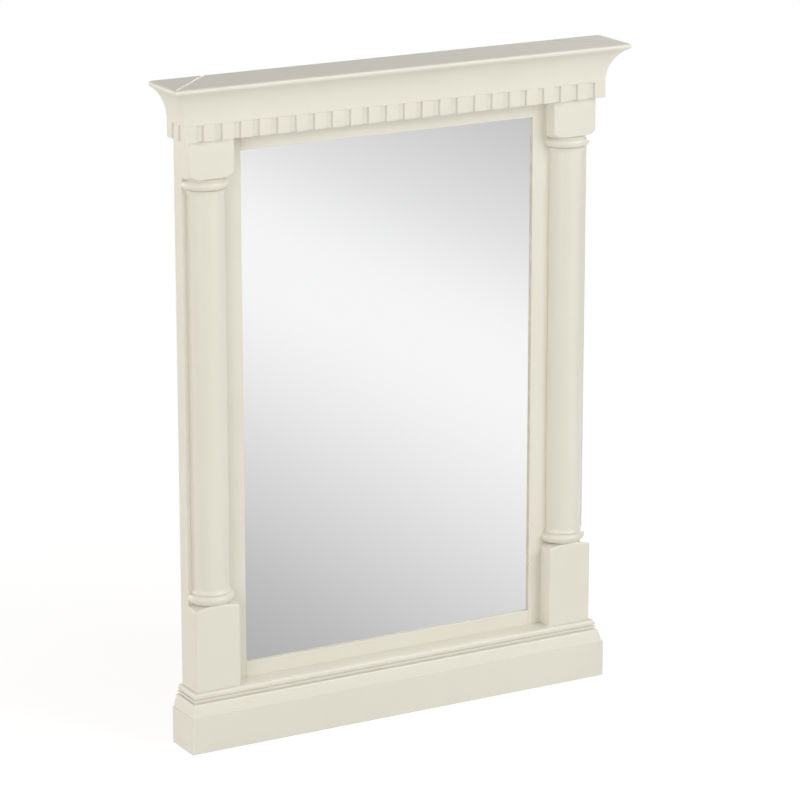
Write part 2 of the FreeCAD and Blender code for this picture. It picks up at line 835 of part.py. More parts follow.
def spline(name, clearance):
    """A flat plywood tongue across the left mitre, lying along the mitre at its middle height."""
    tongue = doc.addObject("Part::Box", name)
    length = "(spline_length + %s * 2)" % clearance
    width = "(spline_width + %s * 2)" % clearance
    put(
        tongue,
        "-mitre_end - spline_rear - (%s - %s) / 2 * sqrt(2) / 2" % (length, width),
        "spline_rear + (%s + %s) / 2 * sqrt(2) / 2" % (length, width),
        "cornice_low + cornice_height / 2 - spline_thickness / 2 - %s" % clearance,
        Rotation(Vector(0, 0, 1), 45),
    )
    bind(tongue, {"Length": length, "Width": width, "Height": "spline_thickness + %s * 2" % clearance})
    return tongue


def cornice():
    slot = spline("spline_slot", "joint_clearance")
    mitre = ("cornice_half", "total_depth", "0")
    face = front_moulding("cornice_face", cornice_corners("dentil_front", "0"), *mitre)
    socket = upright_socket("cornice_rail_socket", "-rail_dowel_half", "dowel_depth", "cornice_low")
    node(cut("cornice_face_cut", face, both_sides([socket, slot])), "cornice_front")
    side = side_moulding("cornice_side", cornice_corners("dentil_half", "mitre_end"), *mitre)
    side_socket = upright_socket("cornice_stile_socket", "-stile_dowel_half", "dowel_depth", "cornice_low")
    left = node(cut("cornice_side_cut", side, [side_socket, slot]), "cornice_left_return")
    node(mirror("cornice_side_twin", left), "cornice_right_return")
    tongue = spline("spline_left", "0")
    group("cornice_splines", [tongue, mirror("spline_right", tongue)])


# Glass and its backing


def glazing():
    glass = bar("glass", "-glass_half", "glass_half", "glass_rear", "glass_front", "glass_low", "glass_top")
    node(glass, "mirror_glass")
    board = bar("board", "-glass_half", "glass_half", "backing_rear", "glass_rear", "glass_low", "glass_top")
    node(board, "backing_board")
    centre = "-sight_width * %g" % SETTING_BLOCK_SHARE
    block = bar("setting_block", centre + " - setting_block_length / 2",
                centre + " + setting_block_length / 2", "glass_rear", "glass_front",
                "rabbet_low", "glass_low")
    group("setting_blocks", [block, mirror("setting_block_right", block)])


# Turn buttons, each on its own pivot screw

BUTTONS = {
    "left_low": ("-pivot_half", between("sight_low", "sight_top", STILE_BUTTON_SHARES["low"]), 0),
    "left_high": ("-pivot_half", between("sight_low", "sight_top", STILE_BUTTON_SHARES["high"]), 0),
    "top_left": ("-sight_width * %g" % RAIL_BUTTON_SHARE, "pivot_top", 90),
    "top_right": ("sight_width * %g" % RAIL_BUTTON_SHARE, "pivot_top", 90),
    "right_high": ("pivot_half", between("sight_low", "sight_top", STILE_BUTTON_SHARES["high"]), 180),
    "right_low": ("pivot_half", between("sight_low", "sight_top", STILE_BUTTON_SHARES["low"]), 180),
    "bottom_right": ("sight_width * %g" % RAIL_BUTTON_SHARE, "pivot_low", 270),
    "bottom_left": ("-sight_width * %g" % RAIL_BUTTON_SHARE, "pivot_low", 270),
}


def turn_button(key, x, z, heading):
    """A round-ended plate that points from its pivot over the backing."""
    rotation = Rotation(Vector(0, 1, 0), heading) * ALONG["inward"]
    body = new_body("button_" + key, x, "button_rear", z, rotation)
    plan = new_sketch(body, "button_plan_" + key, "XY_Plane")
    half = "button_width / 2"
    draw(plan, [
        ("0", "-" + half, half, LEFT),
        ("button_length - button_width", "-" + half),
        ("button_length - " + half, "0", half, LEFT),
        ("button_length - button_width", half, half, LEFT),
        ("0", half),
        ("-" + half, "0", half, LEFT),
    ])
    draw_circle(plan, "pivot_radius + button_bore_clearance")
    pad(body, plan, "button_thickness")
    node(body, "turn_button_" + key)


def turn_buttons():
    screws = []
    for key, (x, z, heading) in BUTTONS.items():
        turn_button(key, x, z, heading)
        head = peg("pivot_head_" + key, "inward", x, "pivot_head_front - pivot_head_height", z,
                   "pivot_head_radius", "pivot_head_height")
        shank = peg("pivot_shank_" + key, "inward", x, "pivot_head_front - pivot_head_height", z,
                    "pivot_radius", "pivot_head_height + step_depth - pivot_head_front + pivot_length")
        screws.append(fuse("pivot_" + key, head, shank))
    group("button_screws", screws)


# Keyhole hangers

HANGER_SCREW_HEIGHTS = {
    "low": "hanger_low + hanger_screw_inset",
    "high": "hanger_top - hanger_screw_inset",
}


def hangers():
    blank = bar("hanger_blank", "-hanger_half - hanger_width / 2", "-hanger_half + hanger_width / 2",
                "0", "hanger_thickness", "hanger_low", "hanger_top")
    through = "hanger_thickness + overrun * 2"
    tools = [
        peg("keyhole", "inward", "-hanger_half", "-overrun", "keyhole_height", "keyhole_radius", through),
        peg("keyslot_end", "inward", "-hanger_half", "-overrun", "keyslot_height", "keyslot_radius", through),
        bar("keyslot", "-hanger_half - keyslot_radius", "-hanger_half + keyslot_radius", "-overrun",
            "hanger_thickness + overrun", "keyhole_height", "keyslot_height"),
    ]
    screws = []
    for end, z in HANGER_SCREW_HEIGHTS.items():
        tools.append(sink("hanger_sink_" + end, "-hanger_half", z,
                          "hanger_screw_head_radius + joint_clearance",
                          "hanger_screw_radius + joint_clearance", "hanger_thickness"))
        head = sink("hanger_head_" + end, "-hanger_half", z, "hanger_screw_head_radius",
                    "hanger_screw_radius", "hanger_thickness")
        shank = peg("hanger_shank_" + end, "inward", "-hanger_half", "0", z, "hanger_screw_radius",
                    "hanger_screw_length")
        screws.append(fuse("hanger_screw_" + end, head, shank))
    left = node(cut("hanger", blank, tools), "left_hanger_plate")
    node(mirror("hanger_twin", left), "right_hanger_plate")
    group("hanger_screws", screws + [mirror(one.Name + "_right", one) for one in screws])


def check_and_write():
    """Stop on any failed object or bad shape, then write each sub-part to its own file."""
    doc.recompute()
    for thing in doc.Objects:
        if {"Invalid", "Error"} & set(thing.State):
            raise RuntimeError("%s (%s) failed: %s" % (thing.Name, thing.Label, thing.State))
    for piece in pieces:
        if piece.Shape.isNull() or not piece.Shape.isValid() or not piece.Shape.Solids:
            raise RuntimeError("%s has a bad shape" % piece.Label)
    os.makedirs("parts", exist_ok=True)
    for piece in pieces:
        piece.Shape.exportStep("parts/%s.step" % piece.Label)
        print("%-26s %2d solids %12.1f mm3" % (piece.Label, len(piece.Shape.Solids), piece.Shape.Volume))


stiles()
top_rail()
bottom_rail()
frame_dowels()
columns()
column_dowels()
plinth()
frieze()
dentil_front()
dentil_returns()
cornice()
cornice_dowels()
rear_screws()
glazing()
turn_buttons()
hangers()
check_and_write()
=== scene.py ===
# %% [markdown]
# # A painted bathroom mirror
# The real object is a flat glass in a rabbeted wooden frame. Half columns stand on the stiles, a dentil
# course and a coved cornice close the top, and a moulded plinth carries the whole. Everything in front is
# sprayed with satin ivory paint. This lesson rebuilds each piece over its fixed CAD solid, so sizes never
# change here: the pieces only get soft edges, smooth turnings and finishes. First the frame is loaded and
# its box is kept.

# %% Load the fixed frame
import json
import math

import bmesh
import bpy
from mathutils import Matrix, Vector


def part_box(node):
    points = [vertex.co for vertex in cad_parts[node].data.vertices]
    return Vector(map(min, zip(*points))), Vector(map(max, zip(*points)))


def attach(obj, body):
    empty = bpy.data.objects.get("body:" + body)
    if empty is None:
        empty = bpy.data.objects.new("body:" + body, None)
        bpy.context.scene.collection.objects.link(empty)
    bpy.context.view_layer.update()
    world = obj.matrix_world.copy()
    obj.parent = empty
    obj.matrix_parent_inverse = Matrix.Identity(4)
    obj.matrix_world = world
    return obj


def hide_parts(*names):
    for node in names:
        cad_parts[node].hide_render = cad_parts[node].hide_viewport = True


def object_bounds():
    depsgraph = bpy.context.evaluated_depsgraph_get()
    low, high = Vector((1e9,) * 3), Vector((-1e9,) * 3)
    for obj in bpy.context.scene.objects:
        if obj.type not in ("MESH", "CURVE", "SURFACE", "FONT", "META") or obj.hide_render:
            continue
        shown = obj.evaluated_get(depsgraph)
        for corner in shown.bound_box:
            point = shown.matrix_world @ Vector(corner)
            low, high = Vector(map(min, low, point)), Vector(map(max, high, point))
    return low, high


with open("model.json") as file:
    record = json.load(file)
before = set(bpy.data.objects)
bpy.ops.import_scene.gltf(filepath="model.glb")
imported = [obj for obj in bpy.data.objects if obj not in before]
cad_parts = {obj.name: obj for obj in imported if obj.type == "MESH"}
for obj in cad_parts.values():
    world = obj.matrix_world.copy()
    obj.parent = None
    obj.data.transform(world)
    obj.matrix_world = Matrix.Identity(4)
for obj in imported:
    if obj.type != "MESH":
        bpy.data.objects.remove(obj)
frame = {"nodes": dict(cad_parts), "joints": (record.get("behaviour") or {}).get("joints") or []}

cad_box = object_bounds()
MM = 0.001
BODY = "mirror_frame"
WALL = cad_box[1].y
print("CAD box", [round(v, 4) for v in (*cad_box[0], *cad_box[1])])

# %% [markdown]
# Joiners measure this kind of frame from the wall, so the lesson does too: a place is a distance to the
# right of the middle, a depth in front of the wall and a height, all in millimetres. The front of the
# mirror looks along -Y, which means that depth grows towards -Y. The main sizes are measured on the CAD
# nodes in the same way, so that they always agree with the frame.


# %% Places are across, depth from the wall and height
def at(across, depth, height):
    return Vector((across * MM, WALL - depth * MM, height * MM))


def measure(node):
    """A node's ranges across, in depth and in height."""
    low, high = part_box(node)
    ranges = (low.x, high.x), (WALL - high.y, WALL - low.y), (low.z, high.z)
    return [[round(value / MM, 3) for value in pair] for pair in ranges]


TO_FRONT, TO_WALL = Vector((0, -1, 0)), Vector((0, 1, 0))
TO_LEFT, TO_RIGHT = Vector((-1, 0, 0)), Vector((1, 0, 0))
UP = Vector((0, 0, 1))
SIDES = {"left": -1, "right": 1}
print("the right stile measures", measure("right_stile"))

# %% [markdown]
# ## Finishes
# Sprayed satin enamel is never one flat colour. Its tone drifts by a few percent over a hand's breadth,
# its sheen is a little uneven, the spray leaves a faint skin of ripples about a millimetre wide, and the
# grain of the wood below telegraphs through as long shallow lines. Four noise textures on Object
# coordinates give these four things. One function makes the finish for upright, level and inward pieces,
# because only the grain's direction differs, and also a duller coat for the flat top, whose paler
# tone is painted sheen in place of the reflection that the duller coat loses.


# %% Satin ivory paint over wood
def start_material(name):
    material = bpy.data.materials.new(name)
    material.use_nodes = True
    tree = material.node_tree
    shader = tree.nodes["Principled BSDF"]
    coords = tree.nodes.new("ShaderNodeTexCoord").outputs["Object"]
    return material, tree, shader, coords


def noise(tree, coords, scale, detail=3.0, stretch=None):
    """A noise texture, with its pattern drawn out along an axis where a stretch is given."""
    texture = tree.nodes.new("ShaderNodeTexNoise")
    texture.inputs["Scale"].default_value = scale
    texture.inputs["Detail"].default_value = detail
    if stretch:
        mapping = tree.nodes.new("ShaderNodeMapping")
        mapping.inputs["Scale"].default_value = stretch
        tree.links.new(coords, mapping.inputs["Vector"])
        coords = mapping.outputs["Vector"]
    tree.links.new(coords, texture.inputs["Vector"])
    return texture.outputs["Fac"]


def ramp(tree, factor, *stops):
    """Colours spread over a factor; each stop is a position and a linear colour."""
    node = tree.nodes.new("ShaderNodeValToRGB")
    while len(node.color_ramp.elements) < len(stops):
        node.color_ramp.elements.new(0.5)
    for element, (position, colour) in zip(node.color_ramp.elements, stops):
        element.position = position
        element.color = (*colour, 1)
    tree.links.new(factor, node.inputs["Fac"])
    return node.outputs["Color"]


def spread(tree, factor, low, high, start=0.3, stop=0.7):
    """A factor mapped from a range, at first a noise's middle range, to the range between two values."""
    node = tree.nodes.new("ShaderNodeMapRange")
    node.inputs["From Min"].default_value = start
    node.inputs["From Max"].default_value = stop
    node.inputs["To Min"].default_value = low
    node.inputs["To Max"].default_value = high
    tree.links.new(factor, node.inputs["Value"])
    return node.outputs["Result"]


def bump(tree, height, strength, distance, below=None):
    node = tree.nodes.new("ShaderNodeBump")
    node.inputs["Strength"].default_value = strength
    node.inputs["Distance"].default_value = distance
    tree.links.new(height, node.inputs["Height"])
    if below:
        tree.links.new(below, node.inputs["Normal"])
    return node.outputs["Normal"]


IVORY = (0.775, 0.748, 0.660), (0.800, 0.775, 0.690)
PAINTED_SHEEN_IVORY = (0.845, 0.825, 0.765), (0.870, 0.850, 0.795)


def ivory_paint(name, grain, tones=IVORY, roughness=(0.29, 0.35)):
    """Satin ivory enamel over wood; grain is the stretch of the grain lines."""
    material, tree, shader, coords = start_material(name)
    drift = noise(tree, coords, 7)
    sheen = noise(tree, coords, 60)
    grain_lines = noise(tree, coords, 1, 4, grain)
    skin = noise(tree, coords, 900, 2)
    tree.links.new(ramp(tree, drift, (0.3, tones[0]), (0.7, tones[1])), shader.inputs["Base Color"])
    tree.links.new(spread(tree, sheen, *roughness), shader.inputs["Roughness"])
    lines = bump(tree, grain_lines, 0.08, 0.4 * MM)
    ripples = bump(tree, skin, 0.05, 0.1 * MM, lines)
    tree.links.new(ripples, shader.inputs["Normal"])
    return material


UPRIGHT_GRAIN, LEVEL_GRAIN, INWARD_GRAIN = (500, 500, 14), (14, 500, 500), (500, 14, 500)
PAINT_UPRIGHT = ivory_paint("ivory paint on upright grain", UPRIGHT_GRAIN)
PAINT_LEVEL = ivory_paint("ivory paint on level grain", LEVEL_GRAIN)
PAINT_INWARD = ivory_paint("ivory paint on inward grain", INWARD_GRAIN)
# The top's paler tones are painted sheen: they lighten the top in place of the reflection that its rougher
# coat no longer gives.
PAINT_TOP_WITH_PAINTED_SHEEN = ivory_paint("duller ivory paint on the top with painted sheen", LEVEL_GRAIN, PAINTED_SHEEN_IVORY, (0.58, 0.64))
print("paints", [m.name for m in (PAINT_UPRIGHT, PAINT_LEVEL, PAINT_INWARD, PAINT_TOP_WITH_PAINTED_SHEEN)])

# %% [markdown]
# The rear is left as it comes from the saw, with a thin grey-white primer that lets the board show
# through. One ramp does it, from the brown of the fibres to the pale primer, over a noise that is drawn out
# along the board. The dowels and mitre tongues inside are plain beech and the backing is hardboard, which
# are the same recipe with other colours and fibres.


# %% Primed rear, bare beech and hardboard
def fibrous(name, dark, light, stretch, roughness):
    """Bare or thinly primed board, mottled by its fibres."""
    material, tree, shader, coords = start_material(name)
    fibres = noise(tree, coords, 1, 5, stretch)
    tree.links.new(ramp(tree, fibres, (0.32, dark), (0.68, light)), shader.inputs["Base Color"])
    shader.inputs["Roughness"].default_value = roughness
    tree.links.new(bump(tree, fibres, 0.25, 0.4 * MM), shader.inputs["Normal"])
    return material


PRIMER = (0.60, 0.54, 0.45), (0.72, 0.67, 0.58)
PRIMED_REAR = fibrous("primed rear", *PRIMER, (260, 260, 60), 0.75)
PRIMED_LEVEL = fibrous("primed rear of level boards", *PRIMER, (60, 260, 260), 0.75)
BARE_BEECH = fibrous("bare beech", (0.46, 0.29, 0.15), (0.62, 0.43, 0.25), (350, 350, 25), 0.6)
HARDBOARD = fibrous("brown hardboard", (0.13, 0.075, 0.04), (0.21, 0.13, 0.075), (420, 420, 420), 0.55)
print("bare finishes", [m.name for m in (PRIMED_REAR, PRIMED_LEVEL, BARE_BEECH, HARDBOARD)])

# %% [markdown]
# A mirror is a metal film behind glass. The front is a nearly perfect metal reflector whose only flaw is
# a very faint haze, so the noise here moves the roughness by less than a hundredth. The cut edge shows the
# green of the glass, and the film is sealed from behind by a grey lacquer that was poured on and has a
# soft orange-peel skin.


# %% Silvered glass, its cut edge and its lacquered rear
def silvered_front():
    material, tree, shader, coords = start_material("silvered glass")
    shader.inputs["Metallic"].default_value = 1.0
    tint = ramp(tree, noise(tree, coords, 2), (0.3, (0.905, 0.912, 0.908)), (0.7, (0.915, 0.920, 0.916)))
    tree.links.new(tint, shader.inputs["Base Color"])
    tree.links.new(spread(tree, noise(tree, coords, 9), 0.004, 0.012), shader.inputs["Roughness"])
    return material


def lacquer(name, dark, light, roughness, skin, gloss=0.5):
    """A poured or thinly sprayed coat; skin is the strength of its orange peel."""
    material, tree, shader, coords = start_material(name)
    tone = ramp(tree, noise(tree, coords, 40), (0.35, dark), (0.65, light))
    tree.links.new(tone, shader.inputs["Base Color"])
    shader.inputs["Roughness"].default_value = roughness
    shader.inputs["Specular IOR Level"].default_value = gloss
    tree.links.new(bump(tree, noise(tree, coords, 350, 2), skin, 0.3 * MM), shader.inputs["Normal"])
    return material


SILVERED = silvered_front()
GLASS_EDGE = lacquer("green glass edge", (0.16, 0.34, 0.28), (0.22, 0.42, 0.35), 0.12, 0.02)
GLASS_REAR = lacquer("grey mirror lacquer", (0.24, 0.25, 0.25), (0.30, 0.31, 0.31), 0.5, 0.2)
RUBBER = lacquer("black setting rubber", (0.012, 0.012, 0.012), (0.03, 0.03, 0.03), 0.7, 0.3)
print("glass finishes", [m.name for m in (SILVERED, GLASS_EDGE, GLASS_REAR, RUBBER)])

# %% [markdown]
# The rear hardware is zinc-plated steel and brass-plated steel. Plated sheet has fine rolling lines and a
# sheen that varies in blotches, so a stretched noise drives a shallow bump and a coarse noise drives the
# roughness.


# %% Zinc and brass plating
def plated(name, dark, light, stretch):
    material, tree, shader, coords = start_material(name)
    shader.inputs["Metallic"].default_value = 1.0
    blotches = noise(tree, coords, 150, 4)
    tree.links.new(ramp(tree, blotches, (0.35, dark), (0.65, light)), shader.inputs["Base Color"])
    tree.links.new(spread(tree, blotches, 0.26, 0.42), shader.inputs["Roughness"])
    rolling = noise(tree, coords, 1, 2, stretch)
    tree.links.new(bump(tree, rolling, 0.12, 0.2 * MM), shader.inputs["Normal"])
    return material


ZINC = plated("zinc plating", (0.50, 0.52, 0.54), (0.66, 0.67, 0.68), (2500, 2500, 120))
BRASS = plated("brass plating", (0.60, 0.42, 0.16), (0.75, 0.55, 0.24), (120, 2500, 2500))
print("metals", ZINC.name, BRASS.name)

# %% [markdown]
# ## From a bmesh to a finished piece
# Most new pieces end the same way: doubles are merged, faces are turned outwards, sharp edges are eased
# because paint never keeps a knife edge, and faces at the rear get the second material. Then the piece is
# hung on the empty of the body it rides on, and the CAD node that it stands for is hidden.
# Weighted normals keep flat faces flat in the shading although their eased edges are round.

# %% Finish a piece
SAME_PLACE, NEAR_WALL = 0.001 * MM, WALL - 1 * MM
FACES_REAR = 0.7


def ease(bm, radius, edges, segments=3):
    """Round the given edges as sanding and paint do."""
    bmesh.ops.bevel(
        bm, geom=edges, offset=radius * MM, offset_type="OFFSET", segments=segments, profile=0.5,
        affect="EDGES", material=-1, clamp_overlap=True,
    )


def corners(bm, least=40):
    """The edges at which two faces turn by more than an angle."""
    return [e for e in bm.edges if e.is_manifold and e.calc_face_angle(0) > math.radians(least)]


def close_up(bm):
    bmesh.ops.remove_doubles(bm, verts=bm.verts, dist=SAME_PLACE)
    bmesh.ops.recalc_face_normals(bm, faces=bm.faces)


def bare_at_rear(bm):
    """Give the second material to the faces that lie against the wall."""
    for face in bm.faces:
        if face.normal.y > FACES_REAR and face.calc_center_median().y > NEAR_WALL:
            face.material_index = 1


def add_piece(bm, name, node, materials, body=BODY, smooth=38):
    mesh = bpy.data.meshes.new(name)
    bm.to_mesh(mesh)
    bm.free()
    mesh.shade_smooth()
    mesh.set_sharp_from_angle(angle=math.radians(smooth))
    for material in materials:
        mesh.materials.append(material)
    piece = bpy.data.objects.new(name, mesh)
    bpy.context.scene.collection.objects.link(piece)
    piece.modifiers.new("flat faces", "WEIGHTED_NORMAL").keep_sharp = True
    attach(piece, body)
    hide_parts(node)
    print(name, "stands for", node, "with", len(mesh.polygons), "faces")


# %% [markdown]
# ## Sections
# A moulding or a turning is one section that travels, so the section is drawn once. It starts from a
# single vertex and grows: a straight stretch adds a vertex and an edge, and an arc spins the last vertex
# about the arc's centre, which leaves a row of short edges behind. Outwards is -Y here, so a section
# point is (outset, height).


# %% Draw a section with lines and spun arcs
LEFT_TURN, RIGHT_TURN = 1, -1


def line_to(bm, last, outset, height):
    point = bm.verts.new((0, -outset * MM, height * MM))
    bm.edges.new((last, point))
    return point


def arc_to(bm, last, outset, height, radius, turn, steps):
    """Spin the last point to a new one on an arc that turns left or right."""
    start, end = last.co.copy(), Vector((0, -outset * MM, height * MM))
    chord = end - start
    half = chord.length / 2
    aside = Vector((0, chord.z, -chord.y)).normalized() * turn
    centre = (start + end) / 2 + aside * math.sqrt(max((radius * MM) ** 2 - half ** 2, 0))
    angle = 2 * math.asin(min(half / (radius * MM), 1))
    made = bmesh.ops.spin(bm, geom=[last], cent=centre, axis=(-turn, 0, 0), angle=angle, steps=steps)
    return next(v for v in made["geom_last"] if isinstance(v, bmesh.types.BMVert))


def draw_section(points, closed=True):
    """A section from (outset, height) points; a point with more values ends an arc."""
    bm = bmesh.new()
    first = last = bm.verts.new((0, -points[0][0] * MM, points[0][1] * MM))
    for point in points[1:]:
        last = line_to(bm, last, *point) if len(point) == 2 else arc_to(bm, last, *point)
    if closed:
        bm.edges.new((last, first))
    return bm


trial = draw_section([(0, 0), (10, 0), (0, 10, 10, LEFT_TURN, 8)])
print("a trial quarter disc has", len(trial.verts), "points")
trial.free()

# %% [markdown]
# Saw cuts finish most pieces. A plane cuts off what lies beyond it and the open rim is closed with one
# flat face, which is just what a mitre saw does, and it saves working out where a curved section ends. A
# scored line is the same cut with nothing taken away.

# %% Saw cut and scored line
ON_PLANE = 0.0001 * MM


def fill_ends(bm):
    """Close every open rim with one face."""
    bmesh.ops.edgeloop_fill(bm, edges=[e for e in bm.edges if e.is_boundary])


def score(bm, point, normal, clear=False):
    """Part all faces along a plane, and clear what lies beyond it if asked."""
    everything = bm.verts[:] + bm.edges[:] + bm.faces[:]
    bmesh.ops.bisect_plane(
        bm, geom=everything, dist=ON_PLANE, plane_co=point, plane_no=normal, clear_outer=clear,
    )


def saw(bm, point, outward):
    """Cut off everything beyond a plane and close the cut."""
    score(bm, point, outward, clear=True)
    fill_ends(bm)


trial = bmesh.new()
bmesh.ops.create_cube(trial, size=2)
saw(trial, UP / 2, UP)
print("a trial cube from -1 to 1 is sawn off at", max(v.co.z for v in trial.verts))
trial.free()

# %% [markdown]
# ## Half columns
# A half column is turned whole on a lathe and split. The lathe is a spin of the section about an upright
# axis: a short neck, a round ring, a small hollow that flares into the plain shaft, and the same again at
# the top. Then one saw cut takes away what would stand inside the stile. Building half a spin would leave
# the cut off the true plane.

# %% Shafts
across, depth, height = measure("right_shaft")
AXIS, AXIS_DEPTH, STILE_FRONT = sum(across) / 2, 20, depth[0]
SHAFT_LOW, SHAFT_TOP = height
NECK, SHAFT_RADIUS, FLARE = 27.8, 26.8, 2.6
RING_START, RING_END, FLARE_END = 1.2, 14.2, 21.2
RING_RADIUS, HOLLOW_RADIUS = 6.6, 10.7


def on_the_lathe(bm, steps=96):
    """Spin a section about the upright axis and close its ends."""
    geometry = bm.verts[:] + bm.edges[:]
    bmesh.ops.spin(
        bm, geom=geometry, cent=(0, 0, 0), axis=(0, 0, 1), angle=2 * math.pi, steps=steps, use_merge=True,
    )
    close_up(bm)
    fill_ends(bm)


def shaft_section():
    low, top, flared = SHAFT_LOW, SHAFT_TOP, SHAFT_RADIUS + FLARE
    return draw_section([
        (NECK, low), (NECK, low + RING_START), (NECK, low + RING_END, RING_RADIUS, LEFT_TURN, 18),
        (flared, low + RING_END), (SHAFT_RADIUS, low + FLARE_END, HOLLOW_RADIUS, RIGHT_TURN, 8),
        (SHAFT_RADIUS, top - FLARE_END), (flared, top - RING_END, HOLLOW_RADIUS, RIGHT_TURN, 8),
        (NECK, top - RING_END), (NECK, top - RING_START, RING_RADIUS, LEFT_TURN, 18), (NECK, top),
    ], closed=False)


for side, sign in SIDES.items():
    bm = shaft_section()
    on_the_lathe(bm)
    bmesh.ops.translate(bm, verts=bm.verts, vec=at(sign * AXIS, AXIS_DEPTH, 0))
    saw(bm, at(0, STILE_FRONT, 0), TO_WALL)
    close_up(bm)
    add_piece(bm, side + "_turned_shaft", side + "_shaft", [PAINT_UPRIGHT])

# %% [markdown]
# The blocks above and below the shaft are square, but their ends next to the shaft were turned on the
# lathe: the base block slopes off all round like a weathered sill, and the cap block curves away in a
# round shoulder. Where such an end meets the flat sides it leaves an arched edge, which sanding has
# softened. A block is therefore drawn up from the wire of its plan, ring by ring: to the arched edge, over
# it in a quarter round, and in towards the axis.


# %% A wire that is drawn on ring by ring
def draw_on(bm, ring, move):
    """Draw a ring of edges on to the places that a rule gives for its points."""
    made = bmesh.ops.extrude_edge_only(bm, edges=ring)["geom"]
    fresh = {g for g in made if isinstance(g, bmesh.types.BMVert)}
    for vert in fresh:
        vert.co = move(vert.co)
    return [e for e in bm.edges if e.verts[0] in fresh and e.verts[1] in fresh]


trial = draw_section([(0, 0), (10, 0), (10, 10)])
ring = draw_on(trial, trial.edges[:], lambda p: p + TO_RIGHT)
print("a trial wire of", len(ring), "edges was drawn on into", len(trial.faces), "faces")
trial.free()

# %% [markdown]
# The plan is a square wire with rounded front corners. A turned end only has to tell how far it falls at a
# distance from the axis: the base block's in a straight slope, the cap block's along a circle.

# %% Plan and turned ends of the blocks
across, depth, height = measure("right_base_block")
BLOCK_HALF, BLOCK_FRONT = (across[1] - across[0]) / 2, depth[1]
BLOCK_CORNER, SOFT_EDGE = 2.4, 2.2
PLINTH_TOP, FRIEZE_LOW = height[0], measure("right_cap_block")[2][1]
SLOPE_START, SLOPE = 21, 0.3
SHOULDER_START, SHOULDER_RADIUS = 25, 21.8


def block_plan(across, height):
    """The wire of a block's plan, which runs back to the wall so that the saw can cut it at the stile."""
    bm = bmesh.new()
    bmesh.ops.create_grid(bm, x_segments=1, y_segments=1, size=0.5)
    bmesh.ops.delete(bm, geom=bm.faces[:], context="FACES_ONLY")
    bmesh.ops.scale(bm, verts=bm.verts, vec=(2 * BLOCK_HALF * MM, BLOCK_FRONT * MM, 1))
    bmesh.ops.translate(bm, verts=bm.verts, vec=at(across, BLOCK_FRONT / 2, height))
    front = [v for v in bm.verts if v.co.y < at(0, BLOCK_FRONT / 2, 0).y]
    bmesh.ops.bevel(
        bm, geom=front, offset=BLOCK_CORNER * MM, segments=6, profile=0.5, affect="VERTICES", material=-1,
    )
    straight = [e for e in bm.edges if e.calc_length() > 2 * BLOCK_CORNER * MM]
    bmesh.ops.subdivide_edges(bm, edges=straight, cuts=27)
    return bm


def weathered(reach):
    """How far the sloping top of a base block falls at a distance from the axis."""
    return SLOPE * max(reach - SLOPE_START, 0)


def shouldered(reach):
    """How far the round shoulder of a cap block falls at a distance from the axis."""
    return SHOULDER_RADIUS - math.sqrt(SHOULDER_RADIUS ** 2 - max(reach - SHOULDER_START, 0) ** 2)


reach = math.hypot(BLOCK_HALF, BLOCK_FRONT - AXIS_DEPTH)
print("fall at a block's corner", round(weathered(reach), 2), "and", round(shouldered(reach), 2), "mm")

# %% [markdown]
# Each ring first moves into the plan and then drops to the height that the turned end has there. So the
# quarter round follows the arched edge by itself, and the same function makes blocks that stand either way
# up.

# %% Base blocks and cap blocks
EDGE_STEPS = 5
CLOSING_SHARES = (0.9, 0.9, 0.9, 0.6)


def inward(point, across):
    """The way into a block's plan from a point of its outline."""
    corner = at(BLOCK_HALF - BLOCK_CORNER, BLOCK_FRONT - BLOCK_CORNER, 0)
    x = min(max(point.x, across * MM - corner.x), across * MM + corner.x)
    return (Vector((x, max(point.y, corner.y), point.z)) - point).normalized()


def turned_block(across, foot, end, fall):
    """A block from its square foot to its turned end, which may be above or below."""
    way = 1 if end > foot else -1
    axis = at(across, AXIS_DEPTH, 0)

    def on_end(point, sunk):
        reach = math.hypot(point.x - axis.x, point.y - axis.y) / MM
        return Vector((point.x, point.y, (end - way * (fall(reach) + sunk)) * MM))

    bm = block_plan(across, foot)
    ring = draw_on(bm, bm.edges[:], lambda p: on_end(p, SOFT_EDGE))
    angles = [math.radians(90 * step / EDGE_STEPS) for step in range(EDGE_STEPS + 1)]
    for before, angle in zip(angles, angles[1:]):
        inset = SOFT_EDGE * (math.cos(before) - math.cos(angle)) * MM
        sunk = SOFT_EDGE * (1 - math.sin(angle))
        ring = draw_on(bm, ring, lambda p: on_end(p + inward(p, across) * inset, sunk))
    for share in CLOSING_SHARES:
        ring = draw_on(bm, ring, lambda p: on_end(axis + (p - axis) * share, 0))
    fill_ends(bm)
    saw(bm, at(0, STILE_FRONT, 0), TO_WALL)
    close_up(bm)
    return bm


for side, sign in SIDES.items():
    bm = turned_block(sign * AXIS, PLINTH_TOP, SHAFT_LOW, weathered)
    add_piece(bm, side + "_foot_block", side + "_base_block", [PAINT_UPRIGHT])
    bm = turned_block(sign * AXIS, FRIEZE_LOW, SHAFT_TOP, shouldered)
    add_piece(bm, side + "_top_block", side + "_cap_block", [PAINT_UPRIGHT])

# %% [markdown]
# ## Mouldings
# A moulding is its section drawn out along a straight line and cut at 45 degrees where it meets its
# neighbour. On the real mirror the three lengths are glued up, the corner is sanded round and everything
# is painted over, so the corner shows no gap. To get the same, the section is drawn out in one go from
# the wall along the left side, the front and the right side. Then the long edges are eased, the two
# upright corners are rounded, and only now does the saw part the three pieces along their mitres.


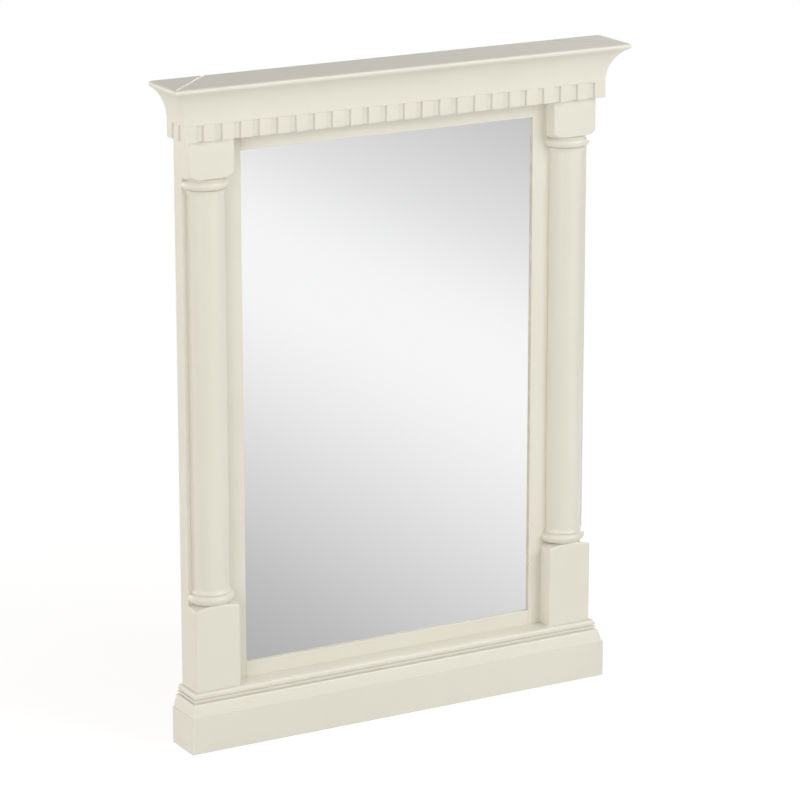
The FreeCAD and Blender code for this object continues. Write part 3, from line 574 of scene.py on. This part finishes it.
# %% Draw a moulding around three sides and soften it
def around_three_sides(section, side, front):
    """A moulding around a core, given the core's half width and the depth of its front."""
    bm = draw_section(section)
    quarter = Matrix.Rotation(math.radians(-90), 3, "Z")
    bmesh.ops.rotate(bm, verts=bm.verts, cent=(0, 0, 0), matrix=quarter)
    bmesh.ops.translate(bm, verts=bm.verts, vec=at(-side, 0, 0))
    corner = at(-side, front, 0)
    ring = draw_on(bm, bm.edges[:], lambda p: Vector((p.x, corner.y + p.x - corner.x, p.z)))
    ring = draw_on(bm, ring, lambda p: Vector((-p.x, p.y, p.z)))
    draw_on(bm, ring, lambda p: Vector((p.x, WALL, p.z)))
    fill_ends(bm)
    close_up(bm)
    return bm


def on_mitre(vert, side, front, near=0.02):
    return abs((abs(vert.co.x) / MM - side) - ((WALL - vert.co.y) / MM - front)) < near


def soften(bm, side, front, edge_radius, corner_radius):
    """Ease the long edges of a moulding and round its two upright corners."""
    def runs_along(edge):
        way = (edge.verts[0].co - edge.verts[1].co).normalized()
        against_wall = all(v.co.y > NEAR_WALL for v in edge.verts)
        return max(abs(way.x), abs(way.y)) > 0.999 and not against_wall

    def at_corner(edge):
        return all(on_mitre(v, side, front) for v in edge.verts)

    ease(bm, edge_radius, [e for e in corners(bm, least=25) if runs_along(e)], segments=2)
    ease(bm, corner_radius, [e for e in corners(bm, least=15) if at_corner(e)], segments=4)


trial = around_three_sides([(0, 0), (10, 0), (10, 10), (0, 10)], 100, 50)
print("a trial moulding around three sides has", len(trial.faces), "faces")
trial.free()

# %% [markdown]
# The saw cuts every length from a copy of the whole. Where a joint is to show on top, a second, sloping cut
# takes the corner off each length, which leaves a fine V between two neighbours.


# %% Part a moulding at its mitres
def open_joint(bm, cuts, groove):
    """Slope the top off along each mitre, so that the joint shows there as a fine groove."""
    top = UP * max(v.co.z for v in bm.verts)
    for point, outward in cuts:
        way = outward.normalized()
        saw(bm, point + top - way * groove * MM, way + UP)
    close_up(bm)


def coat_the_top(bm):
    """Give the third material to the flat top: the duller paint whose paler tone is painted sheen."""
    for face in bm.faces:
        if face.normal.z > 0.99:
            face.material_index = 2


def part_at_mitres(bm, name, node, side, front, paints, groove=0):
    """Saw a moulding into its front and its returns, with a paint for each and perhaps one for the top."""
    left, right = at(-side, front, 0), at(side, front, 0)
    for piece, cuts in {
        "front": [(left, TO_LEFT + TO_WALL), (right, TO_RIGHT + TO_WALL)],
        "left_return": [(left, TO_RIGHT + TO_FRONT)],
        "right_return": [(right, TO_LEFT + TO_FRONT)],
    }.items():
        length = bm.copy()
        for point, outward in cuts:
            saw(length, point, outward)
        close_up(length)
        if groove:
            open_joint(length, cuts, groove)
            coat_the_top(length)
        bare_at_rear(length)
        finish = [paints[0], PRIMED_LEVEL] if piece == "front" else [paints[1], PRIMED_REAR]
        add_piece(length, name + "_" + piece, node + "_" + piece, finish + paints[2:])
    bm.free()


# %% [markdown]
# The plinth moulding reads from the floor up as a plain fascia, a small shoulder, a straight slope with a
# round nose, a dark quirk, a thin fillet, a groove and a rounded bead. Its edges are eased by only a few
# tenths of a millimetre, since the paint has to leave the fine steps crisp: they draw the thin light and
# dark lines along the base.

# %% Plinth front and returns
across, depth, height = measure("plinth_core")
FRAME_HALF, CORE_FRONT = across[1], depth[1]
PLINTH_SECTION = [
    (0, 0), (15, 0), (15, 51.5), (13.5, 51.5), (9.7, 66.2), (6.8, 68.5, 3, LEFT_TURN, 8),
    (4.2, 68.5), (4.2, 70.6), (6.8, 70.6), (6.8, 73.2), (3.8, 73.2), (3.8, 75),
    (6.2, 75), (6.2, PLINTH_TOP - 4), (2.2, PLINTH_TOP, 4, LEFT_TURN, 8), (0, PLINTH_TOP),
]

bm = around_three_sides(PLINTH_SECTION, FRAME_HALF, CORE_FRONT)
soften(bm, FRAME_HALF, CORE_FRONT, 0.35, 1.6)
part_at_mitres(bm, "plinth_moulding", "plinth", FRAME_HALF, CORE_FRONT, [PAINT_LEVEL, PAINT_INWARD])

# %% [markdown]
# The cornice is a deep cove of two arcs that swings out under a round nosing. It is solid back to the
# wall, and its long mitres show on top as two thin lines: a shallow groove in the paint, whose far side
# catches the light. The flat top has a duller coat, so that it doesn't mirror the lamps from behind, and
# a paler tone that is painted sheen in place of the reflection it loses.

# %% Cornice front and returns
across, depth, height = measure("dentil_front")
DENTIL_HALF, DENTIL_FRONT, FRAME_TOP = across[1], depth[1], height[1]
across, depth, height = measure("cornice_front")
CORNICE_OUT, CORNICE_TOP, NOSE = across[1] - DENTIL_HALF, height[1], 3.9
COVE_OUT = CORNICE_OUT - NOSE
CORNICE_SECTION = [
    (-DENTIL_FRONT, FRAME_TOP), (0, FRAME_TOP), (0, FRAME_TOP + 2),
    (10, 894.5, 57.8, RIGHT_TURN, 24), (COVE_OUT, 905.6, 36.7, RIGHT_TURN, 14),
    (COVE_OUT, CORNICE_TOP - 2 * NOSE), (CORNICE_OUT, CORNICE_TOP - NOSE, NOSE, LEFT_TURN, 8),
    (COVE_OUT, CORNICE_TOP, NOSE, LEFT_TURN, 8), (-DENTIL_FRONT, CORNICE_TOP),
]

bm = around_three_sides(CORNICE_SECTION, DENTIL_HALF, DENTIL_FRONT)
soften(bm, DENTIL_HALF, DENTIL_FRONT, 0.3, 1.0)
paints = [PAINT_LEVEL, PAINT_INWARD, PAINT_TOP_WITH_PAINTED_SHEEN]
part_at_mitres(bm, "cornice", "cornice", DENTIL_HALF, DENTIL_FRONT, paints, groove=1.6)

# %% [markdown]
# ## Dentil course
# Dentils are blocks left standing between saw kerfs in one strip. So the strip is scored with cuts at
# each tooth's two sides, without removing anything, and the faces between the cuts are pushed out as
# teeth. Each tooth's edges are eased by hand-sanding, which makes the thin line at its top where it meets
# the cornice.

# %% Dentil strips
TOOTH, TEETH, STRIP, RELIEF, TOOTH_EDGE = 17, 24, 5.8, 3.2, 0.45


def bar_between(low, high):
    """A straight bar between two corners."""
    bm = bmesh.new()
    bmesh.ops.create_cube(bm, size=1)
    size, middle = high - low, (low + high) / 2
    bmesh.ops.scale(bm, verts=bm.verts, vec=[abs(v) for v in size])
    bmesh.ops.translate(bm, verts=bm.verts, vec=middle)
    return bm


def push_out(bm, chosen, way):
    """Push faces out as blocks of their own."""
    made = bmesh.ops.extrude_discrete_faces(bm, faces=chosen)
    tips = {v for face in made["faces"] for v in face.verts}
    bmesh.ops.translate(bm, verts=list(tips), vec=way)


bm = bar_between(at(-DENTIL_HALF, BLOCK_FRONT, FRIEZE_LOW), at(DENTIL_HALF, BLOCK_FRONT + STRIP, FRAME_TOP))
pitch = (2 * DENTIL_HALF - TOOTH) / (TEETH - 1)
starts = [-DENTIL_HALF + number * pitch for number in range(TEETH)]
for start in starts:
    score(bm, at(start, 0, 0), TO_RIGHT)
    score(bm, at(start + TOOTH, 0, 0), TO_RIGHT)
fronts = [f for f in bm.faces if f.normal.y < -0.9]
teeth = [f for f in fronts if any(s * MM < f.calc_center_median().x < (s + TOOTH) * MM for s in starts)]
push_out(bm, teeth, TO_FRONT * RELIEF * MM)
close_up(bm)
ease(bm, TOOTH_EDGE, corners(bm), segments=2)
add_piece(bm, "dentil_front_strip", "dentil_front", [PAINT_LEVEL])
print(len(teeth), "teeth at a pitch of", round(pitch, 2), "mm")

# %% [markdown]
# The side strips are made in the same way with three teeth. The first front tooth turns the corner, so
# the side's foremost tooth stops behind it.

# %% Dentil returns
SIDE_TEETH = [(0, 14.13), (19.93, 34.07), (39.87, 45)]


def to_the_right(bm):
    """Mirror a left-hand piece to the right."""
    bmesh.ops.scale(bm, verts=bm.verts, vec=(-1, 1, 1))
    bmesh.ops.recalc_face_normals(bm, faces=bm.faces)


for side in SIDES:
    bm = bar_between(at(-FRAME_HALF, 0, FRIEZE_LOW), at(-FRAME_HALF - STRIP, BLOCK_FRONT, FRAME_TOP))
    for near, far in SIDE_TEETH:
        score(bm, at(0, near, 0), TO_WALL)
        score(bm, at(0, far, 0), TO_WALL)
    outer = [f for f in bm.faces if f.normal.x < -0.9]
    middle = {f: (WALL - f.calc_center_median().y) / MM for f in outer}
    push_out(bm, [f for f in outer if any(n < middle[f] < e for n, e in SIDE_TEETH)], TO_LEFT * RELIEF * MM)
    close_up(bm)
    ease(bm, TOOTH_EDGE, corners(bm), segments=2)
    if side == "right":
        to_the_right(bm)
    bare_at_rear(bm)
    node = "dentil_%s_return" % side
    add_piece(bm, side + "_dentil_strip", node, [PAINT_INWARD, PRIMED_REAR])

# %% [markdown]
# ## Stiles, rails and the two hidden bars
# These bars have the right shape already, with their rabbets, dowel holes, screw holes and hanger beds.
# What the CAD solid lacks is the softness of a painted edge. A copy of the solid is merged, its flat
# triangles are dissolved to whole faces, and only the long outer edges are eased: where two bars meet,
# that leaves the hairline that a butt joint shows through paint.

# %% Copies of solids and their long edges
SHORTEST_EASED = 12


def copy_of(node):
    bm = bmesh.new()
    bm.from_mesh(frame["nodes"][node].data)
    bmesh.ops.remove_doubles(bm, verts=bm.verts, dist=SAME_PLACE)
    bmesh.ops.dissolve_limit(bm, angle_limit=math.radians(0.5), verts=bm.verts, edges=bm.edges)
    return bm


def long_edges(bm):
    return [e for e in corners(bm, least=60) if e.calc_length() > SHORTEST_EASED * MM and e.is_convex]


trial = copy_of("top_rail")
print("the top rail has", len(long_edges(trial)), "long edges to ease")
trial.free()

# %% [markdown]
# Faces inside the rear recess and the holes stay bare. The narrow lip around the glass gets a duller coat
# whose darker colour is painted shade, which tones the lip down beside the glass. The faces are told
# apart by where their middle lies and which way they look.

# %% Bare and thinly coated places
NEAR = 0.2
LIP_REAR = measure("mirror_glass")[1][1] - NEAR
SIGHT_HALF = measure("right_stile")[0][0] + NEAR
SIGHT_LOW, SIGHT_TOP = measure("bottom_rail")[2][1] - NEAR, measure("top_rail")[2][0] + NEAR
RECESS_HALF, RECESS_LOW, RECESS_TOP = 257, 70, 847
# The lip's coat is darker than the ivory paint: painted shade, with a low gloss and a rough finish.
LIP_COAT_PAINTED_SHADE = lacquer("dull lip coat with painted shade", (0.70, 0.672, 0.575), (0.74, 0.712, 0.615), 0.7, 0.1, gloss=0.15)


def coat(bm):
    """Leave the rear, the recess and the holes bare, and give the lip around the glass the darker coat of
    painted shade.
    """
    for face in bm.faces:
        middle = face.calc_center_median() / MM
        behind = WALL / MM - middle.y < LIP_REAR
        in_recess = behind and abs(middle.x) < RECESS_HALF and RECESS_LOW < middle.z < RECESS_TOP
        in_opening = abs(middle.x) < SIGHT_HALF and SIGHT_LOW < middle.z < SIGHT_TOP
        if face.normal.y > FACES_REAR or (in_recess and face.normal.y > -0.5):
            face.material_index = 1
        # lip faces beside the glass get the darker coat of painted shade
        elif in_opening and not behind and abs(face.normal.y) < 0.5:
            face.material_index = 2


print("the glass shows between", SIGHT_LOW, "and", SIGHT_TOP, "mm")

# %% [markdown]
# Now the six bars can be made. Each has its paint and the radius of its eased edges, which is smallest on
# the two bars that the mouldings cover.

# %% Stiles, rails, plinth bar and frieze bar
BARS = {
    "left_stile": (PAINT_UPRIGHT, 0.7), "right_stile": (PAINT_UPRIGHT, 0.7),
    "top_rail": (PAINT_LEVEL, 0.5), "bottom_rail": (PAINT_LEVEL, 0.5),
    "plinth_core": (PAINT_LEVEL, 0.2), "frieze_core": (PAINT_LEVEL, 0.3),
}
for node, (paint, radius) in BARS.items():
    bm = copy_of(node)
    ease(bm, radius, long_edges(bm))
    coat(bm)
    rear = PRIMED_LEVEL if paint == PAINT_LEVEL else PRIMED_REAR
    add_piece(bm, node + "_bar", node, [paint, rear, LIP_COAT_PAINTED_SHADE])

# %% [markdown]
# ## Glass and backing
# The glass is a plain pane with ground edges. Its three finishes go on by the way that each face looks.
# The hardboard behind it is a sheet with softly sawn edges.


# %% Glass pane and backing board
def pane(node, radius):
    low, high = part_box(node)
    bm = bar_between(Vector(low), Vector(high))
    ease(bm, radius, bm.edges[:], segments=2)
    return bm


bm = pane("mirror_glass", 0.4)
for face in bm.faces:
    face.material_index = 0 if face.normal.y < -0.9 else 2 if face.normal.y > 0.9 else 1
add_piece(bm, "mirror_pane", "mirror_glass", [SILVERED, GLASS_EDGE, GLASS_REAR])
add_piece(pane("backing_board", 0.5), "backing_sheet", "backing_board", [HARDBOARD])

# %% [markdown]
# ## Rear hardware
# The turn buttons are stamped plates with rounded edges, and each rides on its own body so that it can
# swing away from the backing. They are copies of their solids with eased rims. The keyhole plates lie
# flush in their beds, so their copies keep the crisp rims.

# %% Turn buttons and keyhole plates
BUTTON_EDGE = 0.35
for node in [name for name in frame["nodes"] if name.startswith("turn_button_")]:
    bm = copy_of(node)
    ease(bm, BUTTON_EDGE, corners(bm, least=60), segments=2)
    body = node.replace("turn_button_", "button_")
    add_piece(bm, node + "_plate", node, [BRASS], body=body)
for side in SIDES:
    bm = copy_of(side + "_hanger_plate")
    add_piece(bm, side + "_keyhole_plate", side + "_hanger_plate", [ZINC])

# %% [markdown]
# A screw is a turning with a cross-shaped recess. The head's flat face is scored along the two arms of
# the cross, and the faces inside it are pushed in. One screw is made and then copied to every place that
# its CAD group has.


# %% Make a screw and set copies of it
def cross_screw(outline, cross):
    """A screw pointing along +Z from its head at the origin, with a cross recess."""
    bm = draw_section(outline, closed=False)
    on_the_lathe(bm, steps=32)
    reach, half, deep = cross
    for way in (TO_RIGHT, TO_WALL):
        for distance in (-reach, -half, half, reach):
            score(bm, way * distance * MM, way)
    lid = [f for f in bm.faces if f.normal.z < -0.9 and abs(f.calc_center_median().z) < 0.01 * MM]

    def inside(face):
        x, y = abs(face.calc_center_median().x) / MM, abs(face.calc_center_median().y) / MM
        return max(x, y) < reach and min(x, y) < half

    made = bmesh.ops.extrude_face_region(bm, geom=[f for f in lid if inside(f)])
    tips = [v for v in made["geom"] if isinstance(v, bmesh.types.BMVert)]
    bmesh.ops.translate(bm, verts=tips, vec=(0, 0, deep * MM))
    bmesh.ops.delete(bm, geom=[f for f in lid if f.is_valid and inside(f)], context="FACES")
    close_up(bm)
    return bm


def set_screws(screw, places, name, node):
    """Copies of a screw at each place, pointing inwards from the rear."""
    mesh = bpy.data.meshes.new("one screw")
    from_the_rear = Matrix.Rotation(math.radians(90), 3, "X")
    bmesh.ops.rotate(screw, verts=screw.verts, cent=(0, 0, 0), matrix=from_the_rear)
    screw.to_mesh(mesh)
    screw.free()
    bm = bmesh.new()
    for place in places:
        before = set(bm.verts)
        bm.from_mesh(mesh)
        bmesh.ops.translate(bm, verts=[v for v in bm.verts if v not in before], vec=place)
    bpy.data.meshes.remove(mesh)
    add_piece(bm, name, node, [ZINC])


# %% [markdown]
# Wood screws hold the columns, the plinth and the frieze from the rear, and shorter ones hold the keyhole
# plates. All their heads lie flush with the rear.

# %% Wood screws and plate screws
RAIL_SCREWS, RAIL_SCREW_ACROSS = [36.9, 853], 107.52
COLUMN_SCREWS = [112, 163.6, 347.6, 551.5, 813.925, *RAIL_SCREWS]
WOOD_SCREW, WOOD_CROSS = [(4, 0), (2, 2.4), (2, 37), (0.3, 40)], (2.0, 0.45, 1.3)
PLATE_SCREWS, PLATE_ACROSS = [703, 737], sum(measure("right_hanger_plate")[0]) / 2
PLATE_SCREW, PLATE_CROSS = [(3.2, 0), (1.6, 1.6), (1.6, 12), (0.2, 14)], (1.6, 0.35, 0.9)

places = [at(sign * AXIS, 0, height) for sign in SIDES.values() for height in COLUMN_SCREWS]
places += [at(sign * RAIL_SCREW_ACROSS, 0, height) for sign in SIDES.values() for height in RAIL_SCREWS]
set_screws(cross_screw(WOOD_SCREW, WOOD_CROSS), places, "rear_wood_screws", "rear_screws")
places = [at(sign * PLATE_ACROSS, 0, height) for sign in SIDES.values() for height in PLATE_SCREWS]
set_screws(cross_screw(PLATE_SCREW, PLATE_CROSS), places, "keyhole_plate_screws", "hanger_screws")

# %% [markdown]
# The pivot screws of the turn buttons have low round heads. Their places are read from the joints, so a
# head always sits on its button's own axis.

# %% Pivot screws
HEAD_DEPTH = measure("button_screws")[1][0]
PAN_SCREW = [(3.0, 0), (4.2, 1.2, 1.6, LEFT_TURN, 5), (4.2, 2.2), (2.1, 2.2), (2.1, 12), (0.3, 14.4)]
PAN_CROSS = (1.9, 0.45, 1.0)

pivots = [Vector(joint["pos_m"]) for joint in frame["joints"]]
places = [at(pivot.x / MM, HEAD_DEPTH, pivot.z / MM) for pivot in pivots]
set_screws(cross_screw(PAN_SCREW, PAN_CROSS), places, "pivot_pan_screws", "button_screws")

# %% [markdown]
# What is sealed inside keeps its CAD shape and only takes a finish: beech dowels and tongues, and the
# rubber pads under the glass.

# %% Finishes of the hidden pieces
HIDDEN = {
    "frame_dowels": BARE_BEECH, "column_dowels": BARE_BEECH, "cornice_dowels": BARE_BEECH,
    "cornice_splines": BARE_BEECH, "setting_blocks": RUBBER,
}
for node, material in HIDDEN.items():
    mesh = frame["nodes"][node].data
    mesh.materials.clear()
    mesh.materials.append(material)
print("finished in place", sorted(HIDDEN))

# %% [markdown]
# ## Studio
# The photograph has a plain white surround. The floor and the world are therefore white for the rays by
# which they are seen: straight from the camera, in a reflection or through glass, save that the floor shows
# a painted band of light in reflections. For all other rays, which carry light on to the mirror, they keep
# plain colours. Light Path tells the rays apart.

# %% Shaders that tell kinds of ray apart
SEEN = ("Is Camera Ray", "Is Glossy Ray", "Is Transmission Ray")


def for_rays(tree, *kinds):
    """One factor that is on for the given kinds of ray."""
    path = tree.nodes.new("ShaderNodeLightPath")
    factor = path.outputs[kinds[0]]
    for kind in kinds[1:]:
        most = tree.nodes.new("ShaderNodeMath")
        most.operation = "MAXIMUM"
        tree.links.new(factor, most.inputs[0])
        tree.links.new(path.outputs[kind], most.inputs[1])
        factor = most.outputs[0]
    return factor


def glow(tree, strength=1.0, colour=None):
    node = tree.nodes.new("ShaderNodeEmission")
    node.inputs["Strength"].default_value = strength
    if colour:
        tree.links.new(colour, node.inputs["Color"])
    return node.outputs[0]


def mixed(tree, factor, first, second):
    """The first shader where a factor is 0 and the second where it is 1."""
    node = tree.nodes.new("ShaderNodeMixShader")
    tree.links.new(factor, node.inputs[0])
    tree.links.new(first, node.inputs[1])
    tree.links.new(second, node.inputs[2])
    return node.outputs[0]


print("white for", ", ".join(SEEN))

# %% [markdown]
# Near the mirror the camera sees a floor that is partly lit by the lamps, so the soft shadow stays on it.
# The glass mirrors the floor, on which a painted band of light, a grey ramp that glows only for reflected
# rays, lies in front of the mirror's right half and falls off to both sides, as under a long soft lamp.


# %% Floor
def shadowed_white(tree, coords):
    """White all round, and near the mirror white only as far as the light reaches."""
    lit, both = tree.nodes.new("ShaderNodeBsdfDiffuse"), tree.nodes.new("ShaderNodeAddShader")
    lit.inputs["Color"].default_value = (0.32, 0.32, 0.32, 1)
    tree.links.new(glow(tree, 0.8), both.inputs[0])
    tree.links.new(lit.outputs[0], both.inputs[1])
    away = tree.nodes.new("ShaderNodeVectorMath")
    away.operation = "LENGTH"
    tree.links.new(coords, away.inputs[0])
    return mixed(tree, spread(tree, away.outputs["Value"], 0, 1, 0.5, 1.0), both.outputs[0], glow(tree))


def painted_light_band(tree, coords):
    """What the glass sees of the floor: a painted band of light that glows in grey steps across it."""
    split = tree.nodes.new("ShaderNodeSeparateXYZ")
    tree.links.new(coords, split.inputs["Vector"])
    across = spread(tree, split.outputs["X"], 0, 1, -0.5, 2.5)
    greys = [(0.05, 0.38), (0.24, 0.66), (0.48, 1.0), (0.70, 0.83), (1.0, 0.57)]
    band = ramp(tree, across, *[(place, (grey, grey, grey)) for place, grey in greys])
    band.node.color_ramp.interpolation = "CARDINAL"
    return glow(tree, 1.0, band)


def floor_finish():
    material, tree, shader, coords = start_material("pale floor")
    shader.inputs["Base Color"].default_value = (0.8, 0.8, 0.79, 1)
    shader.inputs["Roughness"].default_value = 0.9
    mirrored = for_rays(tree, "Is Glossy Ray")
    seen = mixed(tree, mirrored, shadowed_white(tree, coords), painted_light_band(tree, coords))
    look = mixed(tree, for_rays(tree, *SEEN), shader.outputs[0], seen)
    tree.links.new(look, tree.nodes["Material Output"].inputs["Surface"])
    return material


FLOOR_HALF, FLOOR_DROP = 9, 0.5
bm = bmesh.new()
bmesh.ops.create_grid(bm, x_segments=2, y_segments=2, size=FLOOR_HALF)
bmesh.ops.translate(bm, verts=bm.verts, vec=(0, 0, -FLOOR_DROP * MM))
mesh = bpy.data.meshes.new("floor")
bm.to_mesh(mesh)
bm.free()
floor = bpy.data.objects.new("floor", mesh)
floor.data.materials.append(floor_finish())
bpy.context.scene.collection.objects.link(floor)
print("the floor is", 2 * FLOOR_HALF, "m wide")

# %% [markdown]
# The world is white where it is seen, and a weak warm white where it lights the mirror.

# %% World
world = bpy.data.worlds.new("white surround")
world.use_nodes = True
tree = world.node_tree
surround, ambient = tree.nodes["Background"], tree.nodes.new("ShaderNodeBackground")
surround.inputs["Color"].default_value = (1, 1, 1, 1)
ambient.inputs["Color"].default_value = (1.0, 0.93, 0.80, 1)
ambient.inputs["Strength"].default_value = 0.29
look = mixed(tree, for_rays(tree, *SEEN), ambient.outputs[0], surround.outputs[0])
tree.links.new(look, tree.nodes["World Output"].inputs["Surface"])
bpy.context.scene.world = world
bpy.context.scene.view_settings.view_transform = "Standard"
print("world is", world.name)

# %% [markdown]
# A large soft lamp stands high at the front right, so that the dentils shade the rail below them and the
# right half is slightly brighter. A weaker one at the front left lights the left flanks of the columns and
# opens the shade between the dentils. A third at the left rear keeps the left side as light as the front,
# and with a fourth at the right rear it shows the rear.

# %% Lamps
MIDDLE = Vector((0, 0, 0.45))
WHITE = (1.0, 1.0, 1.0)


def soft_lamp(name, place, size, watts, colour):
    """A round lamp that looks at the middle of the mirror; places and sizes in metres."""
    data = bpy.data.lights.new(name, "AREA")
    data.shape = "DISK"
    data.size = size
    data.energy = watts
    data.color = colour
    lamp = bpy.data.objects.new(name, data)
    lamp.location = place
    lamp.rotation_euler = (MIDDLE - Vector(place)).to_track_quat("-Z", "Y").to_euler()
    bpy.context.scene.collection.objects.link(lamp)


soft_lamp("key", (2.3, -3.4, 2.5), 3.0, 108, (0.95, 0.985, 1.0))
soft_lamp("fill", (-3.2, -2.2, 0.9), 2.4, 56, (0.98, 0.99, 1.0))
soft_lamp("side light", (-3.0, 2.3, 1.2), 2.0, 50, WHITE)
soft_lamp("rear light", (3.0, 2.3, 1.2), 2.0, 38, WHITE)

# %% [markdown]
# The camera stands at the photograph's place: to the left of the front and a little above, far off with a
# long lens, as a product is shot. Its numbers come from a fit to corners of the mirror that can be found
# in the photograph.

# %% Camera
STAND = (-2.401, -4.2885, 1.833)
LOOKS_DOWN, LOOKS_RIGHT = math.radians(15.74), math.radians(29.30)
SENSOR, LENS = 36, 168.9

camera = bpy.data.objects.new("camera", bpy.data.cameras.new("camera"))
camera.data.sensor_width = SENSOR
camera.data.lens = LENS
camera.location = STAND
camera.rotation_euler = (math.pi / 2 - LOOKS_DOWN, 0, -LOOKS_RIGHT)
bpy.context.scene.collection.objects.link(camera)
bpy.context.scene.camera = camera
print("camera at", [round(v, 3) for v in camera.location])
